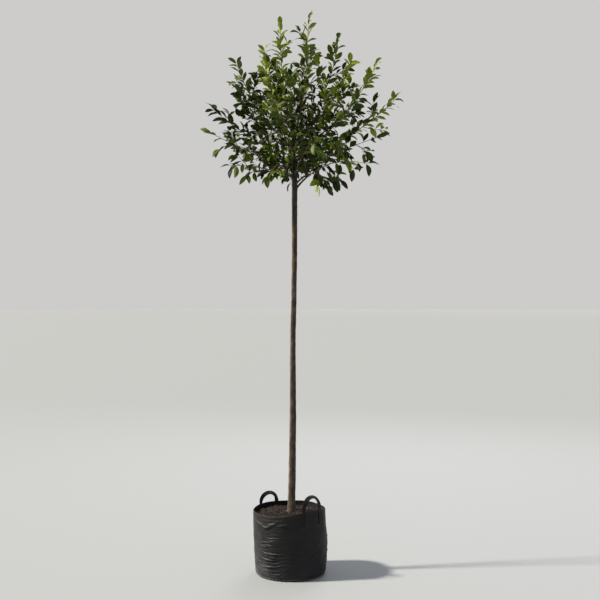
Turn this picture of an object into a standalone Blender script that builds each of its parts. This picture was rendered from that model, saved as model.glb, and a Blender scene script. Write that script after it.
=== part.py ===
"""A standard tree in a planter bag: a clear stem with an open, leafy head, standing in potting soil.

Metres, +Z up. The origin is the middle of the bag's underside. +X is the tree's right and -Y its front.
Every limb is one smooth curve from the trunk to its furthest leaf tip. The first stretch of the curve is
the bare bough, and the rest is the stem that its mass of foliage grows on.
"""

import math
import random
from collections import namedtuple

import bmesh
import bpy
from mathutils import Matrix, Vector

CLEARANCE = 0.0003
WELD = 0.00002
SEED = 41

# Planter bag of about 45 litres
BAG_RADIUS = 0.200
BAG_HEIGHT = 0.350
BAG_RIM_RADIUS = 0.195
BAG_FOOT_RADIUS = 0.195
BAG_CORNER = 0.028
BAG_WALL = 0.003
BAG_SIDES = 32
BAG_OVAL = 0.010
BAG_LEAN = 0.005
RIM_START = 0.252
RIM_RISE = 0.018
RIM_DIP = 0.008

# Soil in the bag
SOIL_EDGE_HEIGHT = 0.322
SOIL_TOP = 0.337
SOIL_PAD_RADIUS = 0.040
SOIL_ROUGHNESS = 0.003

# Carrying handles, sewn to the outside of the bag opposite each other
HANDLE_BEARING = 129.5
HANDLE_HALF_ANGLE = 16.5
HANDLE_RISE_BACK = 0.054
HANDLE_RISE_FRONT = 0.078
HANDLE_TAIL = 0.062
STRAP_WIDTH = 0.023
STRAP_THICKNESS = 0.0025
STRAP_TWIST_BACK = math.radians(-42)
STRAP_TWIST_FRONT = math.radians(54)
STRAP_STEPS = 24
TAIL_SHARE = 0.24

# Trunk
FORK_HEIGHT = 2.120
TRUNK_TOP = 2.445
ROOT_FLARE = 0.0055
ROOT_FLARE_HEIGHT = 0.022
TRUNK_RINGS = 16

# Height, sideways and backward offset, and radius along the trunk
TRUNK_STATIONS = [
    (0.300, 0.0030, 0.000, 0.0205),
    (0.560, 0.0095, 0.003, 0.0196),
    (0.850, 0.0125, 0.005, 0.0180),
    (1.280, 0.0130, 0.002, 0.0154),
    (1.550, 0.0190, -0.003, 0.0149),
    (1.800, 0.0215, -0.002, 0.0146),
    (2.120, 0.0225, 0.000, 0.0158),
    (2.445, 0.0130, 0.004, 0.0085),
]

# Boughs
BOUGH_SHARE = 0.28
BOUGH_FOOT_RADIUS = 0.0066
BOUGH_END_RADIUS = 0.0033
BOUGH_STEPS = 3
LIMB_GAP = 0.0020

# Foliage
STEM_RADIUS = 0.0030
TWIG_RADIUS = 0.0022
TIP_RADIUS = 0.0012
TWIG_ANGLE = math.radians(46)
TURN = math.radians(137.5)
TWIGS_A_STEM = 4
TWIG_SHARE = 0.52
SHORTEST_TWIG = 0.070
LEAF_LENGTH = 0.082
LEAF_WIDTH = 0.040
LEAF_THICKNESS = 0.0022
LEAF_SPACING = 0.066
LEAF_ANGLE = math.radians(50)
LEAF_DROOP_LOW = 1.10
LEAF_DROOP_HIGH = 0.15
TWIG_LIFT_LOW = -0.10
TWIG_LIFT_HIGH = 0.18
HEAD_BOTTOM = 2.150
HEAD_MIDDLE = 2.600
LEAF_ROOT_SINK = 0.0012
LEAF_EDGE = [
    (across * LEAF_WIDTH, along * LEAF_LENGTH, 0.0)
    for across, along in (
        (0, 0.2), (0.25, 0.25), (-0.25, 0.25), (0.5, 0.46), (-0.5, 0.46), (0.25, 0.75), (-0.25, 0.75), (0, 1)
    )
]
LEAF_ROOM = 0.042
MOST_LEAVES = 19
CELL_MARGIN = 0.0022
TRIES = 4

Bough = namedtuple("Bough", "name foot bearing reach top arch")

# foot: height at which the bough leaves the trunk. bearing: degrees round the trunk, 0 to the right and
# 270 to the front. reach and top: where its furthest leaf tip is, from the trunk and above the ground.
# arch: how far the limb's middle stands above a straight line, or below and outside it where negative.
BOUGHS = [
    Bough("low_right", 2.098, 5, 0.455, 2.235, 0.085),
    Bough("low_front_right", 2.128, 322, 0.250, 2.035, 0.100),
    Bough("low_front_left", 2.140, 228, 0.235, 2.125, 0.090),
    Bough("low_back", 2.150, 100, 0.440, 2.240, 0.050),
    Bough("low_left", 2.166, 196, 0.405, 2.215, 0.025),
    Bough("low_front", 2.178, 285, 0.450, 2.290, 0.045),
    Bough("low_back_right", 2.190, 50, 0.480, 2.380, 0.010),
    Bough("left_lower", 2.204, 190, 0.510, 2.425, -0.010),
    Bough("right_lower", 2.212, 350, 0.500, 2.390, 0.005),
    Bough("low_back_left", 2.228, 138, 0.490, 2.400, 0.000),
    Bough("left_middle", 2.246, 175, 0.490, 2.580, -0.015),
    Bough("right_middle", 2.256, 2, 0.590, 2.640, -0.045),
    Bough("front_middle", 2.266, 256, 0.480, 2.530, -0.020),
    Bough("front_right_middle", 2.274, 318, 0.480, 2.560, -0.025),
    Bough("back_middle", 2.290, 86, 0.470, 2.600, -0.030),
    Bough("back_left_upper", 2.298, 154, 0.400, 2.750, -0.040),
    Bough("right_upper", 2.312, 8, 0.475, 2.850, -0.065),
    Bough("left_upper", 2.326, 190, 0.335, 2.825, -0.045),
    Bough("back_right_upper", 2.336, 46, 0.380, 2.770, -0.050),
    Bough("front_left_upper", 2.346, 238, 0.310, 2.790, -0.045),
    Bough("front_right_upper", 2.358, 334, 0.350, 2.805, -0.050),
    Bough("front_upper", 2.368, 286, 0.300, 2.840, -0.045),
    Bough("right_top", 2.382, 352, 0.245, 2.975, -0.060),
    Bough("back_upper", 2.392, 96, 0.270, 2.880, -0.050),
    Bough("left_top", 2.416, 150, 0.195, 2.945, -0.050),
    Bough("leader_left", 2.402, 208, 0.085, 3.043, -0.028),
    Bough("leader_right", 2.445, 14, 0.088, 3.098, -0.012),
]

LEAF_GREEN = (0.035, 0.085, 0.016)
BARK_BROWN = (0.070, 0.050, 0.036)
BAG_BLACK = (0.012, 0.012, 0.014)
SOIL_BROWN = (0.030, 0.018, 0.011)


def clear_scene():
    for old in list(bpy.data.objects):
        bpy.data.objects.remove(old)


def new_collection(name):
    made = bpy.data.collections.new(name)
    bpy.context.scene.collection.children.link(made)
    return made


def principled(name, colour, roughness):
    made = bpy.data.materials.new(name)
    made.use_nodes = True
    shader = made.node_tree.nodes["Principled BSDF"]
    shader.inputs["Base Color"].default_value = (*colour, 1.0)
    shader.inputs["Roughness"].default_value = roughness
    shader.inputs["Metallic"].default_value = 0.0
    return made


def link_mesh(name, mesh, collection, material=None):
    made = bpy.data.objects.new(name, mesh)
    collection.objects.link(made)
    if material:
        mesh.materials.clear()
        mesh.materials.append(material)
    return made


def evaluated_mesh(thing):
    """The object's mesh with its modifiers applied, and the object removed."""
    bpy.context.view_layer.update()
    graph = bpy.context.evaluated_depsgraph_get()
    mesh = bpy.data.meshes.new_from_object(thing.evaluated_get(graph))
    mesh.transform(thing.matrix_world)
    bpy.data.objects.remove(thing)
    return mesh


def welded_mesh(thing):
    """The same, with points that lie together made one, as where a tube's caps meet its side."""
    mesh = evaluated_mesh(thing)
    shape = bmesh.new()
    shape.from_mesh(mesh)
    bmesh.ops.remove_doubles(shape, verts=shape.verts, dist=WELD)
    shape.to_mesh(mesh)
    shape.free()
    return mesh


def smoothstep(low, high, value):
    share = min(max((value - low) / (high - low), 0.0), 1.0)
    return share * share * (3 - 2 * share)


def turned_mesh(name, profile, sides, collection):
    """A solid of revolution from (radius, height) pairs that run down its outer side."""
    mesh = bpy.data.meshes.new(name)
    points = [(radius, 0.0, height) for radius, height in profile]
    mesh.from_pydata(points, [(i, i + 1) for i in range(len(points) - 1)], [])
    turned = link_mesh(name, mesh, collection)
    screw = turned.modifiers.new("turn", "SCREW")
    screw.steps = screw.render_steps = sides
    screw.use_merge_vertices = True
    screw.merge_threshold = WELD
    return welded_mesh(turned)


def tube_mesh(name, points, radii, collection, resolution=1, triangular=False):
    """A tapering tube through the points: round with 4 + 2 * resolution sides, or three-sided."""
    curve = bpy.data.curves.new(name, "CURVE")
    curve.dimensions = "3D"
    curve.use_fill_caps = True
    if triangular:
        curve.bevel_mode = "OBJECT"
        curve.bevel_object = bpy.data.objects["twig_section"]
    else:
        curve.bevel_depth = 1.0
        curve.bevel_resolution = resolution
    spline = curve.splines.new("POLY")
    spline.points.add(len(points) - 1)
    for spot, place, radius in zip(spline.points, points, radii):
        spot.co = (*place, 1.0)
        spot.radius = radius
    tube = bpy.data.objects.new(name, curve)
    collection.objects.link(tube)
    return welded_mesh(tube)


def wall_radius(height):
    """The bag's outer radius at a height: nearly upright, with a slight belly, over a rounded foot."""
    if height < BAG_CORNER:
        inset = BAG_CORNER - math.sqrt(BAG_CORNER**2 - (BAG_CORNER - height) ** 2)
        return BAG_FOOT_RADIUS - inset
    share = (height - BAG_CORNER) / (BAG_HEIGHT - BAG_CORNER)
    straight = BAG_FOOT_RADIUS + (BAG_RIM_RADIUS - BAG_FOOT_RADIUS) * share
    belly = BAG_RADIUS - (BAG_FOOT_RADIUS + BAG_RIM_RADIUS) / 2
    return straight + belly * math.sin(math.pi * share)


def rim_lift(bearing):
    """How far the rim stands above its mean height: the handles pull it up, and it dips between."""
    lift = 0.0
    for centre, height, spread in (
        (HANDLE_BEARING + 180, RIM_RISE, 34),
        (HANDLE_BEARING, RIM_RISE * 0.3, 30),
        (HANDLE_BEARING - 62, RIM_RISE * 0.3, 30),
        (HANDLE_BEARING + 104, -RIM_DIP, 34),
    ):
        away = (math.degrees(bearing) - centre + 180) % 360 - 180
        lift += height * math.exp(-((away / spread) ** 2))
    return lift


def bag_stretch(bearing, height):
    """The bag is a little oval at its rim, and round at its foot."""
    return 1 + BAG_OVAL * math.sin(2 * bearing + 0.6) * smoothstep(0, BAG_HEIGHT, height)


def bag_lean(height):
    """How far the bag leans to the left at a height."""
    return Vector((-BAG_LEAN * smoothstep(BAG_HEIGHT * 0.3, BAG_HEIGHT, height), 0, 0))


def slump(mesh):
    """Lets a turned mesh settle as a soft bag does: it leans a little and its rim rises and dips."""
    for vertex in mesh.vertices:
        x, y, z = vertex.co
        bearing = math.atan2(y, x)
        near_wall = smoothstep(BAG_RADIUS * 0.6, BAG_RADIUS * 0.9, math.hypot(x, y))
        lift = rim_lift(bearing) * smoothstep(RIM_START, BAG_HEIGHT, z) * near_wall
        stretch = bag_stretch(bearing, z)
        vertex.co = Vector((x * stretch, y * stretch, z + lift)) + bag_lean(z)
    mesh.update()


def corner_arc(inset, steps=3):
    """The rounded foot of the bag, or of what fills it, from the wall round to the underside."""
    radius = BAG_CORNER - inset
    middle = (BAG_FOOT_RADIUS - BAG_CORNER, BAG_CORNER)
    turns = [math.pi / 2 * step / steps for step in range(steps + 1)]
    return [(middle[0] + radius * math.cos(a), middle[1] - radius * math.sin(a)) for a in turns]


def wall_profile(inset, top, rings):
    """(radius, height) pairs down the wall from top to the rounded foot, set in by inset."""
    heights = [top + (BAG_CORNER - top) * ring / rings for ring in range(rings)]
    return [(wall_radius(height) - inset, height) for height in heights] + corner_arc(inset)


def make_bag(collection, material):
    outside = wall_profile(0.0, BAG_HEIGHT, 6) + [(0.0, 0.0)]
    inside = wall_profile(BAG_WALL, BAG_HEIGHT, 6) + [(0.0, BAG_WALL)]
    profile = list(reversed(inside)) + outside
    mesh = turned_mesh("bag", profile, BAG_SIDES, collection)
    slump(mesh)
    return link_mesh("bag", mesh, collection, material)


def make_soil(collection, material):
    """Potting soil: it fills the bag to just under the rim, and is firmed flat round the trunk."""
    inset = BAG_WALL + CLEARANCE * 1.5
    wall = wall_profile(inset, SOIL_EDGE_HEIGHT, 5)
    rings = 4
    top = []
    for ring in range(1, rings):
        share = ring / rings
        radius = SOIL_PAD_RADIUS + (wall[0][0] - SOIL_PAD_RADIUS) * share
        top.append((radius, SOIL_TOP - (SOIL_TOP - SOIL_EDGE_HEIGHT) * share**1.6))
    profile = [(0.0, SOIL_TOP), (SOIL_PAD_RADIUS, SOIL_TOP)] + top + wall + [(0.0, inset)]
    mesh = turned_mesh("soil", profile, BAG_SIDES, collection)
    slump(mesh)
    dice = random.Random(SEED)
    for vertex in mesh.vertices:
        radius = math.hypot(vertex.co.x, vertex.co.y)
        if vertex.co.z > SOIL_EDGE_HEIGHT - 0.02 and SOIL_PAD_RADIUS * 1.2 < radius < BAG_RADIUS * 0.9:
            vertex.co.z += dice.uniform(-SOIL_ROUGHNESS, SOIL_ROUGHNESS)
    return link_mesh("soil", mesh, collection, material)


def strap_foot(bearing, height):
    """Where a strap's centre line lies against the outside of the bag."""
    outward = Vector((math.cos(bearing), math.sin(bearing), 0.0))
    lift = rim_lift(bearing) * smoothstep(RIM_START, BAG_HEIGHT, height)
    radius = wall_radius(height) * bag_stretch(bearing, height) + STRAP_THICKNESS / 2 + CLEARANCE * 2
    return outward * radius + bag_lean(height) + Vector((0, 0, height + lift))


def strap_frame(centre_bearing, rise, top_twist, share):
    """Where a handle's centre line is, and which way its width runs, a share of the way along it.

    The width runs from the loop's outer edge to its inner one, so that the strap has no flip at the top.
    """
    outward = Vector((math.cos(centre_bearing), math.sin(centre_bearing), 0.0))
    sideways = Vector((-outward.y, outward.x, 0.0))
    side = -1.0 if share < 0.5 else 1.0
    foot_bearing = centre_bearing + side * math.radians(HANDLE_HALF_ANGLE)
    foot_sideways = Vector((-math.sin(foot_bearing), math.cos(foot_bearing), 0.0))
    along = min(share, 1 - share)
    if along <= TAIL_SHARE:
        height = BAG_HEIGHT - HANDLE_TAIL * (1 - along / TAIL_SHARE)
        return strap_foot(foot_bearing, height), foot_sideways * -side
    turn = math.pi / 2 * (along - TAIL_SHARE) / (0.5 - TAIL_SHARE)
    half_span = BAG_RIM_RADIUS * math.sin(math.radians(HANDLE_HALF_ANGLE))
    place = strap_foot(foot_bearing, BAG_HEIGHT) - sideways * side * half_span * (1 - math.cos(turn))
    place.z += rise * math.sin(turn) ** 0.9
    in_plane = sideways * math.cos(turn) + Vector((0, 0, side * math.sin(turn)))
    twist = top_twist * smoothstep(0.0, math.pi / 2, turn)
    width = in_plane * math.cos(twist) - outward * side * math.sin(twist)
    return place, foot_sideways.lerp(width, smoothstep(0.0, 0.35, turn)).normalized() * -side


def make_handle(name, bearing_degrees, rise, top_twist, collection, material):
    """A webbing strap: up the outside of the bag, over in a loop that twists a little, and down again."""
    bpy.ops.mesh.primitive_grid_add(x_subdivisions=STRAP_STEPS, y_subdivisions=1, size=1)
    grid = bpy.context.object
    mesh = grid.data.copy()
    bpy.data.objects.remove(grid)
    bearing = math.radians(bearing_degrees)
    for vertex in mesh.vertices:
        place, width = strap_frame(bearing, rise, top_twist, vertex.co.x + 0.5)
        vertex.co = place + width * (STRAP_WIDTH * vertex.co.y)
    strap = link_mesh(name, mesh, collection, material)
    thickness = strap.modifiers.new("webbing", "SOLIDIFY")
    thickness.thickness = STRAP_THICKNESS
    thickness.offset = 0.0
    return strap


def trunk_station(height):
    """The trunk's (sideways, backward, radius) at a height, eased between the measured stations."""
    for low, high in zip(TRUNK_STATIONS, TRUNK_STATIONS[1:]):
        if height <= high[0] or high is TRUNK_STATIONS[-1]:
            share = (height - low[0]) / (high[0] - low[0])
            ease = 0.4 * share + 0.6 * smoothstep(0, 1, share)
            return [a + (b - a) * ease for a, b in zip(low[1:], high[1:])]


def trunk_centre(height):
    sideways, backward, _ = trunk_station(height)
    return Vector((sideways, backward, height))


def trunk_radius(height):
    flare = ROOT_FLARE * math.exp(-(height - SOIL_TOP) / ROOT_FLARE_HEIGHT)
    return trunk_station(height)[2] + flare


def trunk_heights():
    """Ring heights, close together in the root flare and further apart up the stem."""
    foot = SOIL_TOP + CLEARANCE
    return [foot + (TRUNK_TOP - foot) * (ring / TRUNK_RINGS) ** 1.5 for ring in range(TRUNK_RINGS + 1)]


def trunk_mesh(name, extra, collection):
    """The trunk, or with extra the slightly fatter cutter that shapes the boughs' feet."""
    heights = trunk_heights()
    heights[0] -= extra
    heights[-1] += extra
    points = [trunk_centre(height) for height in heights]
    points[0].xy = points[1].xy
    radii = [trunk_radius(height) + extra for height in heights]
    return tube_mesh(name, points, radii, collection, resolution=4)


def limb_point(bough, share):
    """A point on the limb's curve, from 0 on the trunk's centre line to 1 at its furthest leaf tip."""
    foot = trunk_centre(bough.foot)
    axis = trunk_centre(FORK_HEIGHT)
    bearing = math.radians(bough.bearing)
    out = Vector((math.cos(bearing), math.sin(bearing), 0.0))
    tip = Vector((axis.x, axis.y, bough.top)) + out * bough.reach
    rise = bough.top - bough.foot
    across = (Vector((0, 0, bough.reach)) - out * rise) / math.hypot(bough.reach, rise)
    middle = foot.lerp(tip, 0.5) + across * (2 * bough.arch)
    return foot.lerp(middle, share).lerp(middle.lerp(tip, share), share)


def limb_direction(bough, share):
    step = 0.01
    return (limb_point(bough, share + step) - limb_point(bough, share - step)).normalized()


def bough_radius(share):
    """A swollen collar where the bough leaves the trunk, then a taper to where its foliage begins."""
    along = share / BOUGH_SHARE
    return BOUGH_FOOT_RADIUS + (BOUGH_END_RADIUS - BOUGH_FOOT_RADIUS) * along**0.7


def make_bough(bough, cutter, collection, material):
    shares = [BOUGH_SHARE * step / BOUGH_STEPS for step in range(BOUGH_STEPS + 1)]
    points = [limb_point(bough, share) for share in shares]
    slim = 1.0 - 0.30 * (bough.foot - FORK_HEIGHT) / (TRUNK_TOP - FORK_HEIGHT)
    radii = [bough_radius(share) * (slim + (1 - slim) * share / BOUGH_SHARE) for share in shares]
    mesh = tube_mesh("bough_" + bough.name, points, radii, collection)
    made = link_mesh("bough_" + bough.name, mesh, collection, material)
    cut = made.modifiers.new("trunk", "BOOLEAN")
    cut.operation = "DIFFERENCE"
    cut.object = cutter
    return made


def distance_to_path(point, path):
    """The distance from a point to a path, and how far along the path its nearest place is."""
    best, where = 1e9, 0.0
    for index in range(len(path) - 1):
        start, step = path[index], path[index + 1] - path[index]
        share = min(max((point - start).dot(step) / step.length_squared, 0.0), 1.0)
        away = (point - start - step * share).length
        if away < best:
            best, where = away, (index + share) / (len(path) - 1)
    return best, where


def stem_path(bough, steps=5):
    """The curve of a mass's own stem, from just past the bough's end nearly to the furthest leaf tip."""
    length = (limb_point(bough, 1) - limb_point(bough, BOUGH_SHARE)).length
    last = 1 - (1 - BOUGH_SHARE) * LEAF_LENGTH * 0.75 / length
    shares = [BOUGH_SHARE + (last - BOUGH_SHARE) * step / steps for step in range(steps + 1)]
    path = [limb_point(bough, share) for share in shares]
    path[0] += limb_direction(bough, BOUGH_SHARE) * (CLEARANCE * 1.2)
    return path


class Space:
    """Which mass owns a place in the head: the one whose stem is nearest. Bare limbs keep their room."""

    def __init__(self):
        self.stems = {bough.name: stem_path(bough) for bough in BOUGHS}
        trunk = [trunk_centre(height) for height in trunk_heights() if height > FORK_HEIGHT - 0.4]
        self.limbs = [(trunk, lambda along: TRUNK_STATIONS[-2][3])]
        for bough in BOUGHS:
            path = [limb_point(bough, BOUGH_SHARE * step / 6) for step in range(7)]
            self.limbs.append((path, lambda along: bough_radius(along * BOUGH_SHARE)))

    def holds(self, name, point):
        own, _ = distance_to_path(point, self.stems[name])
        for other, path in self.stems.items():
            if other != name and distance_to_path(point, path)[0] < own + CELL_MARGIN:
                return False
        return self.clear_of_limbs(point)

    def clear_of_limbs(self, point):
        for path, radius in self.limbs:
            away, along = distance_to_path(point, path)
            if away < radius(along) + LIMB_GAP:
                return False
        return True


def leaf_mesh():
    """An oval leaf of eight faces, its root at the origin and its tip along +Y, folded up at the rib."""
    shape = bmesh.new()
    bmesh.ops.create_uvsphere(shape, u_segments=4, v_segments=2, radius=1.0)
    for vertex in shape.verts:
        x, y, z = vertex.co
        along = 0.46 if abs(x) > 0.5 or abs(y) > 0.5 else 0.5 + 0.5 * z
        side = x if abs(x) > 0.5 else 0.0
        rise = y if abs(y) > 0.5 else 0.0
        fold = 0.14 * LEAF_WIDTH * abs(side)
        droop = -0.07 * LEAF_LENGTH * (along > 0.9)
        lift = rise * LEAF_THICKNESS / 2 + fold + droop
        vertex.co = (side * LEAF_WIDTH / 2, along * LEAF_LENGTH, lift)
    bmesh.ops.reverse_faces(shape, faces=shape.faces)
    mesh = bpy.data.meshes.new("leaf")
    shape.to_mesh(mesh)
    shape.free()
    return mesh


def leaf_matrix(place, direction, tilt):
    """Puts a leaf's root at place, pointing along direction, with its upper face as far up as it goes."""
    along = direction.normalized()
    up = Vector((0, 0, 1)) - along * along.z
    if up.length < 0.15:
        up = Vector((0, -1, 0)) - along * -along.y
    up.normalize()
    across = along.cross(up)
    face = (up * math.cos(tilt) + across * math.sin(tilt)).normalized()
    side = along.cross(face).normalized()
    turn = Matrix((side, along, face)).transposed().to_4x4()
    return Matrix.Translation(place - along * LEAF_ROOT_SINK) @ turn


def around(direction, angle, turn):
    """A direction at an angle to another one, turned round it."""
    level = Vector((0, 0, 1)).cross(direction)
    if level.length < 0.2:
        level = Vector((1, 0, 0)).cross(direction)
    level.normalize()
    across = direction.cross(level)
    outward = level * math.cos(turn) + across * math.sin(turn)
    return (direction * math.cos(angle) + outward * math.sin(angle)).normalized()


def along_path(path, share):
    """The place and direction a share of the way along a path of even steps."""
    scaled = min(max(share, 0.0), 0.9999) * (len(path) - 1)
    index = int(scaled)
    step = path[index + 1] - path[index]
    return path[index] + step * (scaled - index), step.normalized()


def path_length(path):
    return sum((b - a).length for a, b in zip(path, path[1:]))


def by_height(low, high, place):
    """A value that changes from low to high between the bottom of the head and its middle."""
    return low + (high - low) * smoothstep(HEAD_BOTTOM, HEAD_MIDDLE, place.z)


def twig_path(place, direction, length, steps=3):
    """A twig that sets off along direction, then turns up to the light or, low in the head, hangs."""
    path, heading = [place], direction.copy()
    lift = Vector((0, 0, by_height(TWIG_LIFT_LOW, TWIG_LIFT_HIGH, place)))
    for _ in range(steps):
        path.append(path[-1] + heading * (length / steps))
        heading = (heading + lift).normalized()
    return path


def grow_twigs(name, stem, space, dice):
    """Side twigs in turn round the stem, longer near its foot. Each keeps to the mass's own space."""
    twigs = []
    length = path_length(stem)
    turn = dice.uniform(0, 2 * math.pi)
    for index in range(TWIGS_A_STEM):
        share = 0.06 + 0.70 * (index + dice.uniform(0.3, 0.7)) / TWIGS_A_STEM
        place, heading = along_path(stem, share)
        reach = max(length * TWIG_SHARE * (1.05 - share) * dice.uniform(0.85, 1.15), SHORTEST_TWIG)
        for _ in range(TRIES):
            turn += TURN
            angle = TWIG_ANGLE * dice.uniform(0.9, 1.25)
            path = twig_path(place, around(heading, angle, turn), reach)
            while len(path) > 1 and not all(space.holds(name, point) for point in path[1:]):
                path.pop()
            if path_length(path) > SHORTEST_TWIG * 0.5:
                twigs.append(path)
                break
    return twigs


def crowded(matrix, leaves):
    """Whether a leaf's middle is close to the middle of one that has already grown."""
    middle = Vector((0, LEAF_LENGTH * 0.5, 0))
    return any((matrix @ middle - other @ middle).length < LEAF_ROOM for other in leaves)


def grow_leaves(name, path, space, dice, first, leaves):
    """Leaves in turn round a stem or twig, and a pair at its tip.

    A leaf that would leave the mass's space, or crowd another leaf, is left out.
    """
    length = path_length(path)
    count = max(int(length * (1 - first) / LEAF_SPACING + 0.5), 1)
    shares = [first + (0.97 - first) * (index + 0.5) / count for index in range(count)] + [0.99, 0.99]
    turn = dice.uniform(0, 2 * math.pi)
    for share in shares:
        place, heading = along_path(path, share)
        angle = LEAF_ANGLE * (1.0 if share < 0.98 else 0.45) * dice.uniform(0.85, 1.15)
        for _ in range(TRIES):
            turn += TURN if share < 0.98 else math.pi
            direction = around(heading, angle, turn)
            droop = by_height(LEAF_DROOP_LOW, LEAF_DROOP_HIGH, place)
            direction.z -= droop * (1 - abs(heading.z)) * dice.uniform(0.5, 1.5)
            matrix = leaf_matrix(place, direction, dice.uniform(-0.5, 0.5))
            if crowded(matrix, leaves):
                continue
            if all(space.holds(name, matrix @ Vector(point)) for point in LEAF_EDGE):
                leaves.append(matrix)
                break


def biggest_shell(mesh):
    """Keeps the largest of a mesh's shells, which drops loose scraps and fills sealed hollows."""
    shape = bmesh.new()
    shape.from_mesh(mesh)
    shells, seen = [], set()
    for start in shape.faces:
        if start in seen:
            continue
        shell, waiting = [], [start]
        seen.add(start)
        while waiting:
            face = waiting.pop()
            shell.append(face)
            for edge in face.edges:
                for other in edge.link_faces:
                    if other not in seen:
                        seen.add(other)
                        waiting.append(other)
        shells.append(shell)
    shells.sort(key=len)
    spare = [face for shell in shells[:-1] for face in shell]
    bmesh.ops.delete(shape, geom=spare, context="FACES")
    shape.to_mesh(mesh)
    shape.free()


def fuse(name, stem, others, collection, material):
    """One solid from a stem and the twigs and leaves that are sunk into it."""
    stem_object = link_mesh(name + "_stem", stem, collection)
    union = stem_object.modifiers.new("fuse", "BOOLEAN")
    union.operation = "UNION"
    union.operand_type = "COLLECTION"
    union.solver = "MANIFOLD"
    union.collection = others
    mesh = evaluated_mesh(stem_object)
    for spare in list(others.objects):
        bpy.data.objects.remove(spare)
    bpy.data.collections.remove(others)
    biggest_shell(mesh)
    return link_mesh(name, mesh, collection, material)


def make_mass(bough, index, blade, space, collection, material):
    """A mass of foliage on the end of a bough."""
    name = "foliage_" + bough.name
    dice = random.Random(SEED + 7 * index)
    stem = space.stems[bough.name]
    twigs = grow_twigs(bough.name, stem, space, dice)
    parts = new_collection(name + "_parts")
    leaves = []
    for path in [stem] + twigs:
        grow_leaves(bough.name, path, space, dice, 0.10, leaves)
    for matrix in leaves[:MOST_LEAVES]:
        leaf = link_mesh(name + "_leaf", blade.copy(), parts)
        leaf.matrix_world = matrix
    for number, path in enumerate([stem] + twigs):
        foot = STEM_RADIUS if number == 0 else TWIG_RADIUS
        radii = [foot + (TIP_RADIUS - foot) * step / (len(path) - 1) for step in range(len(path))]
        mesh = tube_mesh(f"{name}_{number}", path, radii, collection, triangular=True)
        if number == 0:
            stem_mesh = mesh
        else:
            link_mesh(f"{name}_twig_{number}", mesh, parts)
    return fuse(name, stem_mesh, parts, collection, material)


def make_twig_section(collection):
    """The three-sided outline that twigs are swept from."""
    curve = bpy.data.curves.new("twig_section", "CURVE")
    curve.dimensions = "2D"
    spline = curve.splines.new("POLY")
    spline.points.add(2)
    spline.use_cyclic_u = True
    for corner, point in enumerate(spline.points):
        angle = math.radians(90 - 120 * corner)
        point.co = (math.cos(angle), math.sin(angle), 0.0, 1.0)
    section = bpy.data.objects.new("twig_section", curve)
    section.hide_render = True
    section.display_type = "WIRE"
    collection.objects.link(section)


def main():
    clear_scene()
    tree = new_collection("potted_standard_tree")
    helpers = new_collection("helpers")
    bark = principled("bark", BARK_BROWN, 0.8)
    leaf = principled("leaf", LEAF_GREEN, 0.45)
    black = principled("black_woven_plastic", BAG_BLACK, 0.5)
    earth = principled("potting_soil", SOIL_BROWN, 0.95)

    make_bag(tree, black)
    make_soil(tree, earth)
    make_handle("handle_back_left", HANDLE_BEARING, HANDLE_RISE_BACK, STRAP_TWIST_BACK, tree, black)
    make_handle("handle_front_right", HANDLE_BEARING + 180, HANDLE_RISE_FRONT, STRAP_TWIST_FRONT, tree, black)

    link_mesh("trunk", trunk_mesh("trunk", 0.0, tree), tree, bark)
    cutter = link_mesh("trunk_cutter", trunk_mesh("trunk_cutter", CLEARANCE, helpers), helpers)
    cutter.hide_render = True
    cutter.display_type = "WIRE"
    for bough in BOUGHS:
        make_bough(bough, cutter, tree, bark)

    make_twig_section(helpers)
    space = Space()
    blade = leaf_mesh()
    for index, bough in enumerate(BOUGHS):
        make_mass(bough, index, blade, space, tree, leaf)


main()
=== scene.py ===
# %% [markdown]
# # A standard tree in a planter bag
# A standard is a tree trained to one clear stem with a leafy head. This one stands in a soft black planter
# bag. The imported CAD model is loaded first, as a fixed frame. Every piece made below takes its place from
# it, in metres, with +X the tree's right and -Y its front. The origin is the middle of the bag's underside.

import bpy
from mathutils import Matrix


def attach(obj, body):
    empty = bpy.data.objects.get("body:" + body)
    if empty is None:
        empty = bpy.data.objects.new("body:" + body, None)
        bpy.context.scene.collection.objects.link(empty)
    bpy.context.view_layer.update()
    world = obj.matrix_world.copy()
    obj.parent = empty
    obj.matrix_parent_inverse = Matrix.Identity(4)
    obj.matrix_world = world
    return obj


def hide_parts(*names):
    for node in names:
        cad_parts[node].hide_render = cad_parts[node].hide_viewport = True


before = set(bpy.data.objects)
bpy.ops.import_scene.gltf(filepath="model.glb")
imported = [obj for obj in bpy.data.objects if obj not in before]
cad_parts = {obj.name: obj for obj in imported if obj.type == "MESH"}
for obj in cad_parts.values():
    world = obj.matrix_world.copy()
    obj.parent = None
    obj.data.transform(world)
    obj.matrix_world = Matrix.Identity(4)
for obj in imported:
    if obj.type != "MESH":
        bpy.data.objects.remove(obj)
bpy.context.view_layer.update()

# %% Tools and the seed
import itertools
import math
import random
from collections import namedtuple

import bpy
import numpy as np
from mathutils import Matrix, Vector, noise

SEED = 41
MM = 0.001

# %% [markdown]
# Colours are picked in sRGB, as on a screen, and Blender mixes light in linear values. One function turns a
# hex colour into a linear one. The others add a node with its settings and links, so that each material
# reads as a list.

# %% Colour and node helpers
def linear(colour):
    """A hex sRGB colour as linear red, green, blue and alpha."""
    shares = [int(colour[i:i + 2], 16) / 255 for i in (1, 3, 5)]
    return (*[s / 12.92 if s <= 0.04045 else ((s + 0.055) / 1.055) ** 2.4 for s in shares], 1.0)


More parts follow.
